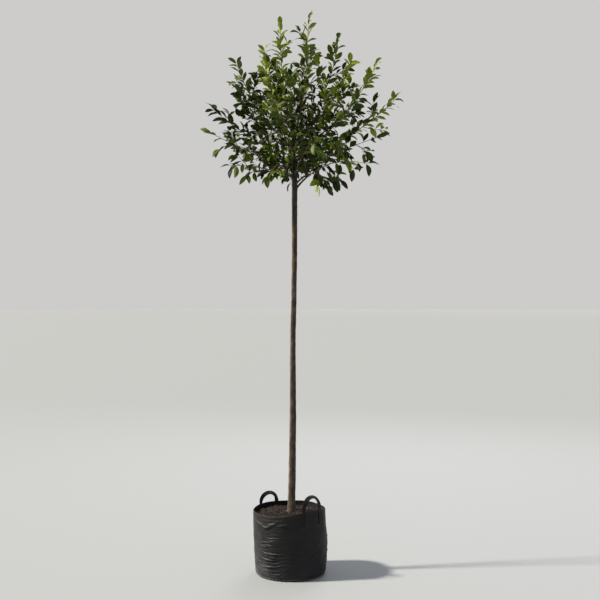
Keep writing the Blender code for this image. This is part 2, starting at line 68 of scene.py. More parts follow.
def add(tree, kind, inputs=None, stops=(), **settings):
    """Adds a shader node. An input is a value, a socket, or a node whose first output feeds it.

    The stops fill a colour ramp.
    """
    made = tree.nodes.new("ShaderNode" + kind)
    for name, value in settings.items():
        setattr(made, name, value)
    for name, value in (inputs or {}).items():
        if isinstance(value, bpy.types.Node):
            value = value.outputs[0]
        if isinstance(value, bpy.types.NodeSocket):
            tree.links.new(value, made.inputs[name])
        else:
            made.inputs[name].default_value = value
    for index, (place, colour) in enumerate(stops):
        elements = made.color_ramp.elements
        stop = elements[index] if index < 2 else elements.new(place)
        stop.position, stop.color = place, linear(colour)
    return made


def maths(tree, operation, *values):
    """A node that works out one value from up to three."""
    return add(tree, "Math", dict(enumerate(values)), operation=operation)


def remap(tree, value, low, high, to_low=0.0, to_high=1.0):
    """A node that carries a value from one range over to another, and stops at its ends."""
    ends = {"From Min": low, "From Max": high, "To Min": to_low, "To Max": to_high}
    return add(tree, "MapRange", {"Value": value, **ends})


def ramp(tree, value, stops):
    """A node that turns a value into a colour."""
    return add(tree, "ValToRGB", {"Fac": value}, stops)


def blend(tree, share, colour, other):
    """The output of a node that mixes two colours."""
    return add(tree, "Mix", {0: share, 6: colour, 7: other}, data_type="RGBA").outputs[2]


def raised(tree, height, strength, distance):
    """A node that lifts the surface by a height, up to a distance in metres."""
    return add(tree, "Bump", {"Height": height, "Strength": strength, "Distance": distance})


def new_material(name):
    """An empty node material and its tree."""
    made = bpy.data.materials.new(name)
    made.use_nodes = True
    made.node_tree.nodes.clear()
    return made, made.node_tree


def finish_material(tree, **inputs):
    """The surface shader, with its sockets by name, where an underscore stands for a space."""
    shader = add(tree, "BsdfPrincipled", {name.replace("_", " "): value for name, value in inputs.items()})
    add(tree, "OutputMaterial", {"Surface": shader})


# %% [markdown]
# ## Meshes
# Leaves, twigs and crumbs are many small closed shapes. They are joined into a few pieces: each shape's
# points and faces are added to a heap, and the heap becomes one mesh. A sweep runs a ring of points along a
# path, with the ring carried over from step to step without twisting, and serves for limbs and twigs alike.

# %% Mesh helpers
def put_in_scene(name, data):
    """A new object, linked to the scene."""
    made = bpy.data.objects.new(name, data)
    bpy.context.scene.collection.objects.link(made)
    return made


class Heap:
    """Points, faces, material numbers and UVs of shapes that become one mesh."""

    def __init__(self):
        self.points, self.faces, self.numbers, self.uvs, self.count = [], [], [], [], 0

    def add(self, points, faces, uvs=None):
        self.points.append(np.asarray(points, float).reshape(-1, 3))
        self.faces += [[corner + self.count for corner in face] for face in faces]
        self.numbers += [0] * len(faces)
        if uvs is not None:
            self.uvs += [uvs[corner] for face in faces for corner in face]
        self.count += len(self.points[-1])

    def build(self, name, materials, slot, replaced=(), smooth=True):
        """Makes the piece, rides it on the plant's one body and hides the CAD parts that it replaces."""
        mesh = bpy.data.meshes.new(name)
        mesh.from_pydata(np.concatenate(self.points).tolist(), [], self.faces)
        mesh.polygons.foreach_set("material_index", self.numbers)
        mesh.polygons.foreach_set("use_smooth", [smooth] * len(self.faces))
        if self.uvs:
            layer = mesh.uv_layers.new(name="surface")
            layer.data.foreach_set("uv", np.asarray(self.uvs, float).ravel())
        for material in materials:
            mesh.materials.append(material)
        mesh.update()
        piece = put_in_scene(name, mesh)
        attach(piece, "root")
        if replaced:
            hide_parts(*replaced)
        triangles = sum(len(face) - 2 for face in self.faces)
        print(f"{name}: {triangles} triangles")
        return piece


def unit(vectors):
    return vectors / np.linalg.norm(vectors, axis=-1, keepdims=True)


def even_turns(count):
    """Angles in even steps round a full turn."""
    return 2 * math.pi * np.arange(count) / count


def sweep_frames(path):
    """Directions, and two directions across, at each point of a path, carried along without twisting."""
    forward = unit(np.gradient(path, axis=0))
    first = np.cross(forward[0], (0.0, 0.0, 1.0))
    if np.linalg.norm(first) < 0.1:
        first = np.cross(forward[0], (0.0, 1.0, 0.0))
    across = [first / np.linalg.norm(first)]
    for direction in forward[1:]:
        carried = across[-1] - direction * across[-1].dot(direction)
        across.append(carried / np.linalg.norm(carried))
    across = np.array(across)
    return forward, across, np.cross(forward, across)


def ring_faces(rings, sides):
    """Four-sided faces between rings of points, outward where the rings turn with the path, and two caps."""
    faces = []
    for ring in range(rings - 1):
        low, high = ring * sides, (ring + 1) * sides
        faces += [(low + i, low + (i + 1) % sides, high + (i + 1) % sides, high + i) for i in range(sides)]
    last = (rings - 1) * sides
    return faces + [tuple(range(sides - 1, -1, -1)), tuple(range(last, last + sides))]


def tube(heap, path, radii, sides):
    """Adds a closed round tube along a path to a heap."""
    path = np.asarray(path, float)
    _, across, up = sweep_frames(path)
    turns = even_turns(sides)
    ring = np.cos(turns)[:, None] * across[:, None] + np.sin(turns)[:, None] * up[:, None]
    points = path[:, None] + ring * np.asarray(radii, float)[:, None, None]
    heap.add(points, ring_faces(len(path), sides))


def smooth_path(path, spacing):
    """A curve through the points of a path, in steps of about spacing."""
    points = np.array([tuple(point) for point in path])
    ends = np.vstack([2 * points[0] - points[1], points, 2 * points[-1] - points[-2]])
    curve = []
    for a, b, c, d in zip(ends, ends[1:], ends[2:], ends[3:]):
        steps = max(int(np.linalg.norm(c - b) / spacing + 0.5), 1)
        for t in np.arange(steps) / steps:
            curve.append(0.5 * (2 * b + (c - a) * t + (2 * a - 5 * b + 4 * c - d) * t**2
                                + (3 * b - a - 3 * c + d) * t**3))
    return np.array(curve + [points[-1]])


def smoothstep(low, high, value):
    """Eases from 0 at low to 1 at high, for a number or an array of numbers."""
    share = np.clip((value - low) / (high - low), 0.0, 1.0)
    eased = share * share * (3 - 2 * share)
    return eased if np.ndim(eased) else float(eased)


# %% [markdown]
# ## The stage
# A plain pale floor, and soft studio light: a key light high on the left, where the sun stands in the
# photograph, a weak fill from the right, a rim light from behind, and a pale sky that is brightest behind
# the tree. The camera stands where the photographer stood: five metres away, at about half the tree's
# height, looking level.

# %% Camera, floor and lights
CAMERA_PLACE = (0.052, -5.13, 1.461)
CAMERA_TILT = 90.37
FRAME_PIXELS = 600
FOCAL_PIXELS = 933
FLOOR_REACH = 400.0
SUN_FROM = Vector((-6.4, -0.9, 6.1))

camera = put_in_scene("camera", bpy.data.cameras.new("camera"))
camera.location = CAMERA_PLACE
camera.rotation_euler = (math.radians(CAMERA_TILT), 0, 0)
camera.data.angle = 2 * math.atan(FRAME_PIXELS / 2 / FOCAL_PIXELS)
bpy.context.scene.camera = camera
print("camera's field of view:", round(math.degrees(camera.data.angle), 2), "degrees")

# Matt paint scatters all light, so the floor shows soft shadows and no reflection
floor_paint, tree = new_material("matt_floor_paint")
mottle = add(tree, "TexNoise", {"Scale": 3.0, "Detail": 4.0})
tone = ramp(tree, mottle, [(0.35, "#959AA0"), (0.65, "#9A9FA5")])
finish_material(tree, Base_Color=tone, Roughness=0.85)
floor_mesh = bpy.data.meshes.new("floor")
corners = [(x * FLOOR_REACH, y * FLOOR_REACH, 0) for x, y in ((-1, -1), (1, -1), (1, 1), (-1, 1))]
floor_mesh.from_pydata(corners, [], [(0, 1, 2, 3)])
floor_mesh.materials.append(floor_paint)
floor = put_in_scene("floor", floor_mesh)


def area_light(name, place, aim, size, power, colour):
    """A square soft box that looks at a point."""
    lamp = bpy.data.lights.new(name, "AREA")
    lamp.size, lamp.energy, lamp.color = size, power, linear(colour)[:3]
    made = put_in_scene(name, lamp)
    made.location = place
    made.rotation_euler = (Vector(aim) - Vector(place)).to_track_quat("-Z", "Y").to_euler()


area_light("fill", (4.5, -5.0, 2.6), (0, 0, 1.2), 3.0, 45, "#E6EEFF")
area_light("rim", (1.5, 5.0, 5.0), (0, 0, 1.9), 2.5, 120, "#FFFFFF")
key = bpy.data.lights.new("key", "SUN")
key.energy, key.color, key.angle = 6.6, linear("#FFF5E4")[:3], math.radians(5)
put_in_scene("key", key).rotation_euler = (-SUN_FROM).to_track_quat("-Z", "Y").to_euler()
world = bpy.data.worlds.new("studio")
bpy.context.scene.world = world
world.use_nodes = True
tree = world.node_tree
direction = add(tree, "SeparateXYZ", {"Vector": add(tree, "TexCoord").outputs["Generated"]})
glow = remap(tree, direction.outputs["Y"], -0.5, 0.5, 0.30, 0.66)
sky = tree.nodes["Background"]
sky.inputs["Color"].default_value = linear("#F6F5F3")
tree.links.new(glow.outputs[0], sky.inputs["Strength"])
bpy.context.scene.view_settings.view_transform = "Standard"

# %% [markdown]
# ## Bark
# The tree has the smooth young bark of a nursery tree: a thin grey-brown skin, paler and lumpy near the
# soil, with darker streaks where rain has run and fine pores that run across the stem. A noise stretched
# along the stem gives the streaks, one stretched across gives the pores, and a bump lifts both a little.

# %% Bark materials
# Pale grey-brown, painted on the bark's left side as a painted sunlit strip, and used for the paler bark at
# its foot
SUNLIT_AND_FOOT_BARK = "#978B7B"


def bark_material(name, dark, middle, pale, streak, pore, gloss, sunlit_and_foot_paleness=0.0):
    """Young bark scatters light softly. Its left side, which faces the key light, is painted paler as a
    sunlit strip, and its foot near the soil is paler bark.
    """
    made, tree = new_material(name)
    coordinates = add(tree, "TexCoord")
    place = coordinates.outputs["Object"]
    along = add(tree, "Mapping", {"Vector": place, "Scale": (1.0, 1.0, 0.12)})
    streaks = add(tree, "TexNoise", {"Vector": along, "Scale": streak, "Detail": 5.0, "Roughness": 0.6})
    blotch = add(tree, "TexNoise", {"Vector": place, "Scale": streak * 0.22, "Detail": 3.0})
    mixed = maths(tree, "ADD", streaks, blotch)
    half = maths(tree, "MULTIPLY", mixed, 0.5)
    colour = ramp(tree, half, [(0.40, dark), (0.62, pale), (0.50, middle)])
    across = add(tree, "Mapping", {"Vector": place, "Scale": (0.30, 0.30, 1.0)})
    pores = add(tree, "TexNoise", {"Vector": across, "Scale": pore, "Detail": 2.0})
    ridge = remap(tree, pores, 0.60, 0.68)
    porous = blend(tree, ridge, colour, linear(dark))
    facing = add(tree, "SeparateXYZ", {"Vector": coordinates.outputs["Normal"]})
    # Painted sunlight: bark whose normal faces left, towards the key light, is painted paler as a sunlit
    # strip
    painted_sunlit_side = remap(tree, facing.outputs["X"], -0.62, -0.97, 0.0, sunlit_and_foot_paleness)
    level = add(tree, "SeparateXYZ", {"Vector": place})
    foot = remap(tree, level.outputs["Z"], 0.46, 0.33, 0.0, sunlit_and_foot_paleness * 0.5)
    sunlit_side_and_pale_foot = maths(tree, "MAXIMUM", painted_sunlit_side, foot)
    patchy = remap(tree, streaks, 0.30, 0.62)
    sunlit_and_foot_share = maths(tree, "MULTIPLY", sunlit_side_and_pale_foot, patchy)
    shaded = blend(tree, sunlit_and_foot_share, porous, linear(SUNLIT_AND_FOOT_BARK))
    height = maths(tree, "ADD", streaks, ridge)
    bump = raised(tree, height, 0.6, 0.6 * MM)
    finish_material(tree, Base_Color=shaded, Roughness=gloss, IOR=1.45, Normal=bump)
    return made


STREAK_WIDTH = 7 * MM
PORE_HEIGHT = 1.6 * MM
trunk_bark = bark_material("grey_young_bark", "#241B16", "#33291F", "#52463A", 1 / STREAK_WIDTH,
                           1 / PORE_HEIGHT, 0.75, sunlit_and_foot_paleness=0.8)
limb_bark = bark_material("brown_limb_bark", "#211813", "#3A2C22", "#5D4D3F", 1 / (5 * MM),
                          1 / PORE_HEIGHT, 0.65)
shoot_bark = bark_material("red_brown_shoot_bark", "#33201A", "#553A2C", "#7A6250", 1 / (3 * MM),
                           1 / (2 * MM), 0.50)

# %% [markdown]
# ## The trunk
# The trunk's middle line and thickness come from the same measured stations as the CAD solid. The skin is a
# sweep of many rings, and each point is moved in or out: shallow flutes that run up the stem, soft lumps,
# the scars of pruned side shoots, and the swollen foot where the roots begin.

# %% Trunk line
SOIL_TOP = 0.337
FORK_HEIGHT = 2.120
TRUNK_TOP = 2.445
ROOT_FLARE = 0.0055
ROOT_FLARE_HEIGHT = 0.022
CLEARANCE = 0.0003
# Height, sideways and backward offset, and radius along the trunk
TRUNK_STATIONS = [
    (0.300, 0.0030, 0.000, 0.0205),
    (0.560, 0.0095, 0.003, 0.0196),
    (0.850, 0.0125, 0.005, 0.0180),
    (1.280, 0.0130, 0.002, 0.0154),
    (1.550, 0.0190, -0.003, 0.0149),
    (1.800, 0.0215, -0.002, 0.0146),
    (2.120, 0.0225, 0.000, 0.0158),
    (2.445, 0.0130, 0.004, 0.0085),
]


def trunk_station(height):
    """The trunk's (sideways, backward, radius) at a height, eased between the measured stations."""
    for low, high in zip(TRUNK_STATIONS, TRUNK_STATIONS[1:]):
        if height <= high[0] or high is TRUNK_STATIONS[-1]:
            share = (height - low[0]) / (high[0] - low[0])
            ease = 0.4 * share + 0.6 * smoothstep(0, 1, share)
            return [a + (b - a) * ease for a, b in zip(low[1:], high[1:])]


def trunk_centre(height):
    sideways, backward, _ = trunk_station(height)
    return Vector((sideways, backward, height))


def trunk_radius(height):
    """The trunk's radius with its root flare, which is widest at the soil."""
    return trunk_station(height)[2] + ROOT_FLARE * math.exp(-max(height - SOIL_TOP, 0) / ROOT_FLARE_HEIGHT)


# %% Trunk skin
TRUNK_SIDES = 56
RING_STEP = 4.5 * MM
FLUTE_DEPTH = 0.9 * MM
LUMP_DEPTH = 1.1 * MM
SCAR_SPACING = 0.13
SCARS = 13
LOWEST_SCAR = 0.42
MEAN_RADIUS = 0.018
BELOW_SOIL = 0.022
# Depth, number and phase of the ridges that run from the roots up the stem's foot
ROOT_RIDGES = ((2.2 * MM, 3, 0.8), (1.2 * MM, 5, 0.0))
dice = random.Random(SEED)
# Height, bearing, size and rise of each pruning scar
scars = [(LOWEST_SCAR + SCAR_SPACING * (index + dice.uniform(-0.35, 0.35)), dice.uniform(0, 2 * math.pi),
          dice.uniform(5, 9) * MM, dice.uniform(1.2, 2.4) * MM) for index in range(SCARS)]


def trunk_relief(place, bearing, height):
    """How far the bark stands out from a plain round stem."""
    flute = noise.noise(Vector((math.cos(bearing) * 1.6, math.sin(bearing) * 1.6, height * 5.0)))
    lump = noise.noise(place * 38.0)
    fine = noise.noise(place * 130.0)
    foot = math.exp(-(height - SOIL_TOP) / 0.05)
    relief = FLUTE_DEPTH * flute + LUMP_DEPTH * lump * (1 + 1.6 * foot) + 0.3 * MM * fine
    relief += sum(depth * foot * math.cos(count * bearing + phase) for depth, count, phase in ROOT_RIDGES)
    for scar_height, scar_bearing, size, rise in scars:
        if abs(height - scar_height) < 3 * size:
            turn = (bearing - scar_bearing + math.pi) % (2 * math.pi) - math.pi
            away = math.hypot(turn * MEAN_RADIUS, (height - scar_height) * 0.8) / size
            relief += rise * (math.exp(-away**2) - 0.7 * math.exp(-(away / 0.42) ** 2))
    return relief


heights = np.arange(SOIL_TOP - BELOW_SOIL, TRUNK_TOP + RING_STEP / 2, RING_STEP)
centres = np.array([tuple(trunk_centre(height)) for height in heights])
_, across, up = sweep_frames(centres)
rings = []
for height, centre, side, back in zip(heights, centres, across, up):
    radius = trunk_radius(height)
    for turn in even_turns(TRUNK_SIDES):
        out = side * math.cos(turn) + back * math.sin(turn)
        place = Vector(centre + out * radius)
        bearing = math.atan2(out[1], out[0])
        rings.append(centre + out * (radius + trunk_relief(place, bearing, height)))
heap = Heap()
heap.add(rings, ring_faces(len(heights), TRUNK_SIDES))
heap.build("trunk_skin", [trunk_bark], "bark", ["trunk"])

# %% [markdown]
# ## How the head grows
# The head grows by the rule of the CAD source, so every limb is where its solid is. Each limb is one smooth
# curve from the trunk to its furthest leaf tip: a bare bough at first, then the stem of a mass of foliage.
# Side twigs set off in turn round the stem, a golden angle apart, and each keeps to its own mass's space:
# the places that are nearer to its stem than to any other. Here the rule is carried on to finer shoots, and
# the leaves are life-size.

# %% Boughs and their curves
Bough = namedtuple("Bough", "name foot bearing reach top arch")
BOUGHS = [Bough(*row) for row in (
    ("low_right", 2.098, 5, 0.455, 2.235, 0.085),
    ("low_front_right", 2.128, 322, 0.250, 2.035, 0.100),
    ("low_front_left", 2.140, 228, 0.235, 2.125, 0.090),
    ("low_back", 2.150, 100, 0.440, 2.240, 0.050),
    ("low_left", 2.166, 196, 0.405, 2.215, 0.025),
    ("low_front", 2.178, 285, 0.450, 2.290, 0.045),
    ("low_back_right", 2.190, 50, 0.480, 2.380, 0.010),
    ("left_lower", 2.204, 190, 0.510, 2.425, -0.010),
    ("right_lower", 2.212, 350, 0.500, 2.390, 0.005),
    ("low_back_left", 2.228, 138, 0.490, 2.400, 0.000),
    ("left_middle", 2.246, 175, 0.490, 2.580, -0.015),
    ("right_middle", 2.256, 2, 0.590, 2.640, -0.045),
    ("front_middle", 2.266, 256, 0.480, 2.530, -0.020),
    ("front_right_middle", 2.274, 318, 0.480, 2.560, -0.025),
    ("back_middle", 2.290, 86, 0.470, 2.600, -0.030),
    ("back_left_upper", 2.298, 154, 0.400, 2.750, -0.040),
    ("right_upper", 2.312, 8, 0.475, 2.850, -0.065),
    ("left_upper", 2.326, 190, 0.335, 2.825, -0.045),
    ("back_right_upper", 2.336, 46, 0.380, 2.770, -0.050),
    ("front_left_upper", 2.346, 238, 0.310, 2.790, -0.045),
    ("front_right_upper", 2.358, 334, 0.350, 2.805, -0.050),
    ("front_upper", 2.368, 286, 0.300, 2.840, -0.045),
    ("right_top", 2.382, 352, 0.245, 2.975, -0.060),
    ("back_upper", 2.392, 96, 0.270, 2.880, -0.050),
    ("left_top", 2.416, 150, 0.195, 2.945, -0.050),
    ("leader_left", 2.402, 208, 0.085, 3.043, -0.028),
    ("leader_right", 2.445, 14, 0.088, 3.098, -0.012),
)]
BOUGH_SHARE = 0.28
BOUGH_FOOT_RADIUS = 0.0066
BOUGH_END_RADIUS = 0.0033
CAD_LEAF_LENGTH = 0.082
LIMB_GAP = 0.0020
CELL_MARGIN = 0.0022


def limb_point(bough, share):
    """A point on the limb's curve, from 0 on the trunk's centre line to 1 at its furthest leaf tip."""
    foot = trunk_centre(bough.foot)
    axis = trunk_centre(FORK_HEIGHT)
    bearing = math.radians(bough.bearing)
    out = Vector((math.cos(bearing), math.sin(bearing), 0.0))
    tip = Vector((axis.x, axis.y, bough.top)) + out * bough.reach
    rise = bough.top - bough.foot
    across = (Vector((0, 0, bough.reach)) - out * rise) / math.hypot(bough.reach, rise)
    middle = foot.lerp(tip, 0.5) + across * (2 * bough.arch)
    return foot.lerp(middle, share).lerp(middle.lerp(tip, share), share)


def bough_radius(share):
    """A bough's radius: it falls fast near the trunk, then slowly to where the foliage begins."""
    return BOUGH_FOOT_RADIUS + (BOUGH_END_RADIUS - BOUGH_FOOT_RADIUS) * (share / BOUGH_SHARE) ** 0.7


def stem_path(bough, leaf_length, steps=5):
    """The curve of a mass's own stem, from the bough's end nearly to the furthest leaf tip."""
    length = (limb_point(bough, 1) - limb_point(bough, BOUGH_SHARE)).length
    last = 1 - (1 - BOUGH_SHARE) * leaf_length * 0.75 / length
    return [limb_point(bough, BOUGH_SHARE + (last - BOUGH_SHARE) * step / steps) for step in range(steps + 1)]


# %% Whose place is it
def as_array(paths):
    return np.array([[tuple(point) for point in path] for path in paths])


class Space:
    """Which mass owns a place in the head: the one whose stem is nearest. Bare limbs keep their room."""

    def __init__(self):
        # The trunk's path has the levels of its rings in the source
        foot, rings = SOIL_TOP + CLEARANCE, 16
        levels = [foot + (TRUNK_TOP - foot) * (ring / rings) ** 1.5 for ring in range(rings + 1)]
        self.stems = as_array(stem_path(bough, CAD_LEAF_LENGTH) for bough in BOUGHS)
        self.limbs = as_array([limb_point(bough, BOUGH_SHARE * step / 6) for step in range(7)]
                              for bough in BOUGHS)
        self.trunk = as_array([[trunk_centre(level) for level in levels if level > FORK_HEIGHT - 0.4]])

    def away(self, points, paths):
        """Each point's distance from each path, and how far along the path its nearest place is."""
        start, step = paths[:, :-1], np.diff(paths, axis=1)
        offset = points[:, None, None] - start
        share = np.clip((offset * step).sum(-1) / (step**2).sum(-1), 0, 1)
        gaps = np.linalg.norm(offset - step * share[..., None], axis=-1)
        nearest = gaps.argmin(-1)
        inside = np.take_along_axis(share, nearest[..., None], -1)[..., 0]
        return gaps.min(-1), (nearest + inside) / (paths.shape[1] - 1)

    def clear_of_limbs(self, points):
        """Whether all the points keep a gap to the bare limbs and the trunk."""
        points = as_array([points])[0]
        gaps, along = self.away(points, self.limbs)
        trunk_gaps, _ = self.away(points, self.trunk)
        clear = (gaps >= bough_radius(along * BOUGH_SHARE) + LIMB_GAP).all()
        return clear and (trunk_gaps >= TRUNK_STATIONS[-2][3] + LIMB_GAP).all()

    def holds(self, index, points, margin=CELL_MARGIN):
        """Whether the points are in a mass's own space. A negative margin lets them reach over its edge."""
        gaps, _ = self.away(as_array([points])[0], self.stems)
        own = gaps[:, index].copy()
        gaps[:, index] = 1e9
        return (gaps.min(1) >= own + margin).all() and self.clear_of_limbs(points)


space = Space()
print("space for", len(space.stems), "masses, clear of", len(space.limbs), "boughs and the trunk")

# %% Twigs by the source's rule
TURN = math.radians(137.5)
TWIG_ANGLE = math.radians(46)
TWIGS_A_STEM = 4
TWIG_SHARE = 0.52
SHORTEST_TWIG = 0.070
TWIG_LIFT_LOW, TWIG_LIFT_HIGH = -0.10, 0.18
HEAD_BOTTOM, HEAD_MIDDLE = 2.150, 2.600
TRIES = 4


def around(direction, angle, turn):
    """A direction at an angle to another one, turned round it."""
    level = Vector((0, 0, 1)).cross(direction)
    if level.length < 0.2:
        level = Vector((1, 0, 0)).cross(direction)
    level.normalize()
    outward = level * math.cos(turn) + direction.cross(level) * math.sin(turn)
    return (direction * math.cos(angle) + outward * math.sin(angle)).normalized()


def along_path(path, share):
    """The place and direction a share of the way along a path of even steps."""
    scaled = min(max(share, 0.0), 0.9999) * (len(path) - 1)
    index = int(scaled)
    step = path[index + 1] - path[index]
    return path[index] + step * (scaled - index), step.normalized()


def path_length(path):
    return sum((b - a).length for a, b in zip(path, path[1:]))


def by_height(low, high, place, bottom=HEAD_BOTTOM, top=HEAD_MIDDLE):
    """A value that changes from low to high between two heights, mostly the head's bottom and middle."""
    return low + (high - low) * smoothstep(bottom, top, place.z)


def twig_path(place, direction, length, steps=3):
    """A twig that sets off along direction, then turns up to the light or, low in the head, hangs."""
    path, heading = [place], direction.copy()
    lift = Vector((0, 0, by_height(TWIG_LIFT_LOW, TWIG_LIFT_HIGH, place)))
    for _ in range(steps):
        path.append(path[-1] + heading * (length / steps))
        heading = (heading + lift).normalized()
    return path


def grow_twigs(index, stem, dice):
    """Side twigs in turn round the stem, longer near its foot. Each keeps to the mass's own space."""
    twigs = []
    length = path_length(stem)
    turn = dice.uniform(0, 2 * math.pi)
    for number in range(TWIGS_A_STEM):
        share = 0.06 + 0.70 * (number + dice.uniform(0.3, 0.7)) / TWIGS_A_STEM
        place, heading = along_path(stem, share)
        reach = max(length * TWIG_SHARE * (1.05 - share) * dice.uniform(0.85, 1.15), SHORTEST_TWIG)
        for _ in range(TRIES):
            turn += TURN
            angle = TWIG_ANGLE * dice.uniform(0.9, 1.25)
            path = twig_path(place, around(heading, angle, turn), reach)
            while len(path) > 1 and not space.holds(index, path[1:]):
                path.pop()
            if path_length(path) > SHORTEST_TWIG * 0.5:
                twigs.append(path)
                break
    return twigs


# %% Finer shoots
LEAF_LENGTH = 0.063
SHOOT_ANGLE = math.radians(48)
HEART = Vector((0.02, 0.0, 2.34))
HEART_RADIUS = 0.25
SKIRT_HEIGHT, SKIRT_SLOPE = 2.160, 0.62


def above_skirt(index, points):
    """Whether a shoot inside the head stays clear of the limbs and above the head's open underside."""
    axis, tip = trunk_centre(FORK_HEIGHT), points[-1]
    skirt = SKIRT_HEIGHT + SKIRT_SLOPE * math.hypot(tip.x - axis.x, tip.y - axis.y)
    return tip.z > skirt and space.clear_of_limbs(points[1:])


def grow_shoots(index, path, dice, first, last, spacing, lengths, test):
    """Short leafy shoots in turn round a twig or stem, between two shares of its length."""
    shoots = []
    length = path_length(path)
    count = int(length * (last - first) / spacing + 0.5)
    turn = dice.uniform(0, 2 * math.pi)
    for number in range(count):
        share = first + (last - first) * (number + dice.uniform(0.25, 0.75)) / count
        place, heading = along_path(path, share)
        if dice.random() > math.exp(-(((place - HEART).length / HEART_RADIUS) ** 2)):
            continue
        reach = dice.uniform(*lengths) * (1.1 - 0.35 * share)
        for _ in range(TRIES):
            turn += TURN
            shoot = twig_path(place, around(heading, SHOOT_ANGLE * dice.uniform(0.85, 1.3), turn), reach)
            while len(shoot) > 2 and not test(index, shoot[1:]):
                shoot.pop()
            if len(shoot) > 2:
                shoots.append(shoot)
                break
    return shoots


stems, twigs, shoots = [], [], []
for index, bough in enumerate(BOUGHS):
    dice = random.Random(SEED + 7 * index)
    cad_stem = [Vector(point) for point in space.stems[index]]
    own_twigs = grow_twigs(index, cad_stem, dice)
    stem = stem_path(bough, LEAF_LENGTH)
    stems.append((index, stem))
    twigs += [(index, twig) for twig in own_twigs]
    full = 0.15 + 0.85 * smoothstep(2.14, 2.30, bough.foot)
    bare = [limb_point(bough, BOUGH_SHARE * share) for share in (0.35, 0.6, 0.8, 1.0)]
    # What carries the shoots, from which share to which, their spacing and lengths, and the room they keep to
    rounds = [(stem, 0.02, 0.60, 0.020 / full, (0.05, 0.10), space.holds)]
    rounds += [(twig, 0.08, 0.80, 0.024 / full, (0.04, 0.07), space.holds) for twig in own_twigs]
    rounds += [(bare, 0.0, 1.0, 0.011, (0.05, 0.12), above_skirt)]
    for path, *rule in rounds:
        shoots += [(index, shoot) for shoot in grow_shoots(index, path, dice, *rule)]
print(len(stems), "stems,", len(twigs), "twigs,", len(shoots), "finer shoots")

# %% [markdown]
# ## Limbs and twigs as meshes
# A bough is thickest in a collar where it leaves the trunk, and tapers along its whole length without a
# step into the stem of its mass. Boughs, stems and twigs are sweeps with fewer sides the thinner they are.
# Each starts inside the limb that carries it, so nothing hangs loose.

# %% Boughs
STEM_TIP_RADIUS = 1.1 * MM
BOUGH_SIDES = 14
COLLAR_SWELL = 0.0022
COLLAR_LENGTH = 0.010
SKIN_STEP = 6 * MM
OVERLAP = 0.012


def skin_radius(bough, share):
    """A bough's radius with its collar. The higher a bough leaves the trunk, the thinner it starts."""
    slim = 1.0 - 0.30 * (bough.foot - FORK_HEIGHT) / (TRUNK_TOP - FORK_HEIGHT)
    radius = bough_radius(share) * (slim + (1 - slim) * share / BOUGH_SHARE)
    out = (limb_point(bough, share) - trunk_centre(bough.foot)).length - trunk_radius(bough.foot)
    return radius + COLLAR_SWELL * math.exp(-max(out, 0.0) / COLLAR_LENGTH)


heap = Heap()
for bough in BOUGHS:
    steps = max(int((limb_point(bough, BOUGH_SHARE) - limb_point(bough, 0)).length / SKIN_STEP), 8)
    shares = [(BOUGH_SHARE + OVERLAP) * step / steps for step in range(steps + 1)]
    path = np.array([tuple(limb_point(bough, share)) for share in shares])
    radii = []
    for share, point in zip(shares, path):
        wobble = 1 + 0.07 * noise.noise(Vector(point) * 70.0)
        radii.append(skin_radius(bough, min(share, BOUGH_SHARE)) * wobble)
    tube(heap, path, radii, BOUGH_SIDES)
heap.build("bough_skins", [limb_bark], "bark", ["bough_" + bough.name for bough in BOUGHS])

# %% Stems, twigs and shoots
TWIG_RADIUS = 1.9 * MM
TWIG_TIP_RADIUS = 0.95 * MM
SHOOT_RADIUS = 1.15 * MM
SHOOT_TIP_RADIUS = 0.7 * MM
STEM_SIDES, TWIG_SIDES, SHOOT_SIDES = 9, 7, 5
TWIG_STEP, SHOOT_STEP = 9 * MM, 12 * MM
FOLIAGE_NODES = ["foliage_" + bough.name for bough in BOUGHS]


def taper(count, foot, tip):
    """Radii along a twig: a little thicker at its foot, then an even taper."""
    along = np.linspace(0, 1, count)
    return foot + (tip - foot) * along**0.8 + 0.5 * MM * np.exp(-along * 14)


heap = Heap()
for _, stem in stems:
    curve = smooth_path(stem, TWIG_STEP)
    along = np.linspace(0, 1, len(curve))
    radii = BOUGH_END_RADIUS + (STEM_TIP_RADIUS - BOUGH_END_RADIUS) * along**0.85
    tube(heap, curve, radii, STEM_SIDES)
for _, twig in twigs:
    curve = smooth_path(twig, TWIG_STEP)
    tube(heap, curve, taper(len(curve), TWIG_RADIUS, TWIG_TIP_RADIUS), TWIG_SIDES)
heap.build("stems_and_twigs", [shoot_bark], "bark", FOLIAGE_NODES)

heap = Heap()
for _, shoot in shoots:
    curve = smooth_path(shoot, SHOOT_STEP)
    tube(heap, curve, taper(len(curve), SHOOT_RADIUS, SHOOT_TIP_RADIUS), SHOOT_SIDES)
heap.build("leafy_shoots", [shoot_bark], "bark", FOLIAGE_NODES)

# %% [markdown]
# ## Leaves
# The leaves are evergreen and leathery, with a waxy upper side that throws back small bright highlights and
# a dull paler underside. They are 33 to 75 mm long and about half as wide, elliptic with a drawn-out tip,
# folded up along the midrib and curled down towards the tip. Each is a thin closed blade of a few faces,
# sharp along its edge and midrib. They stand in turn round each shoot, and two or three stand close
# together at its tip.

# %% Where the leaves grow
LEAF_SPACING_LOW, LEAF_SPACING_HIGH = 0.070, 0.015
SHOOT_LEAF_SPACING, SHOOT_LEAF_SCALE = 0.016, 0.70
LEAF_ANGLE_LOW, LEAF_ANGLE_HIGH = math.radians(52), math.radians(38)
LEAF_DROOP_LOW, LEAF_DROOP_HIGH = 1.10, 0.0
DROOP_BOTTOM, DROOP_TOP = 2.10, 2.42
LEAF_ROOM = 0.010
HEAD_CENTRE = Vector((0.02, 0.0, 2.56))
HEAD_SIZE = Vector((0.50, 0.46, 0.50))
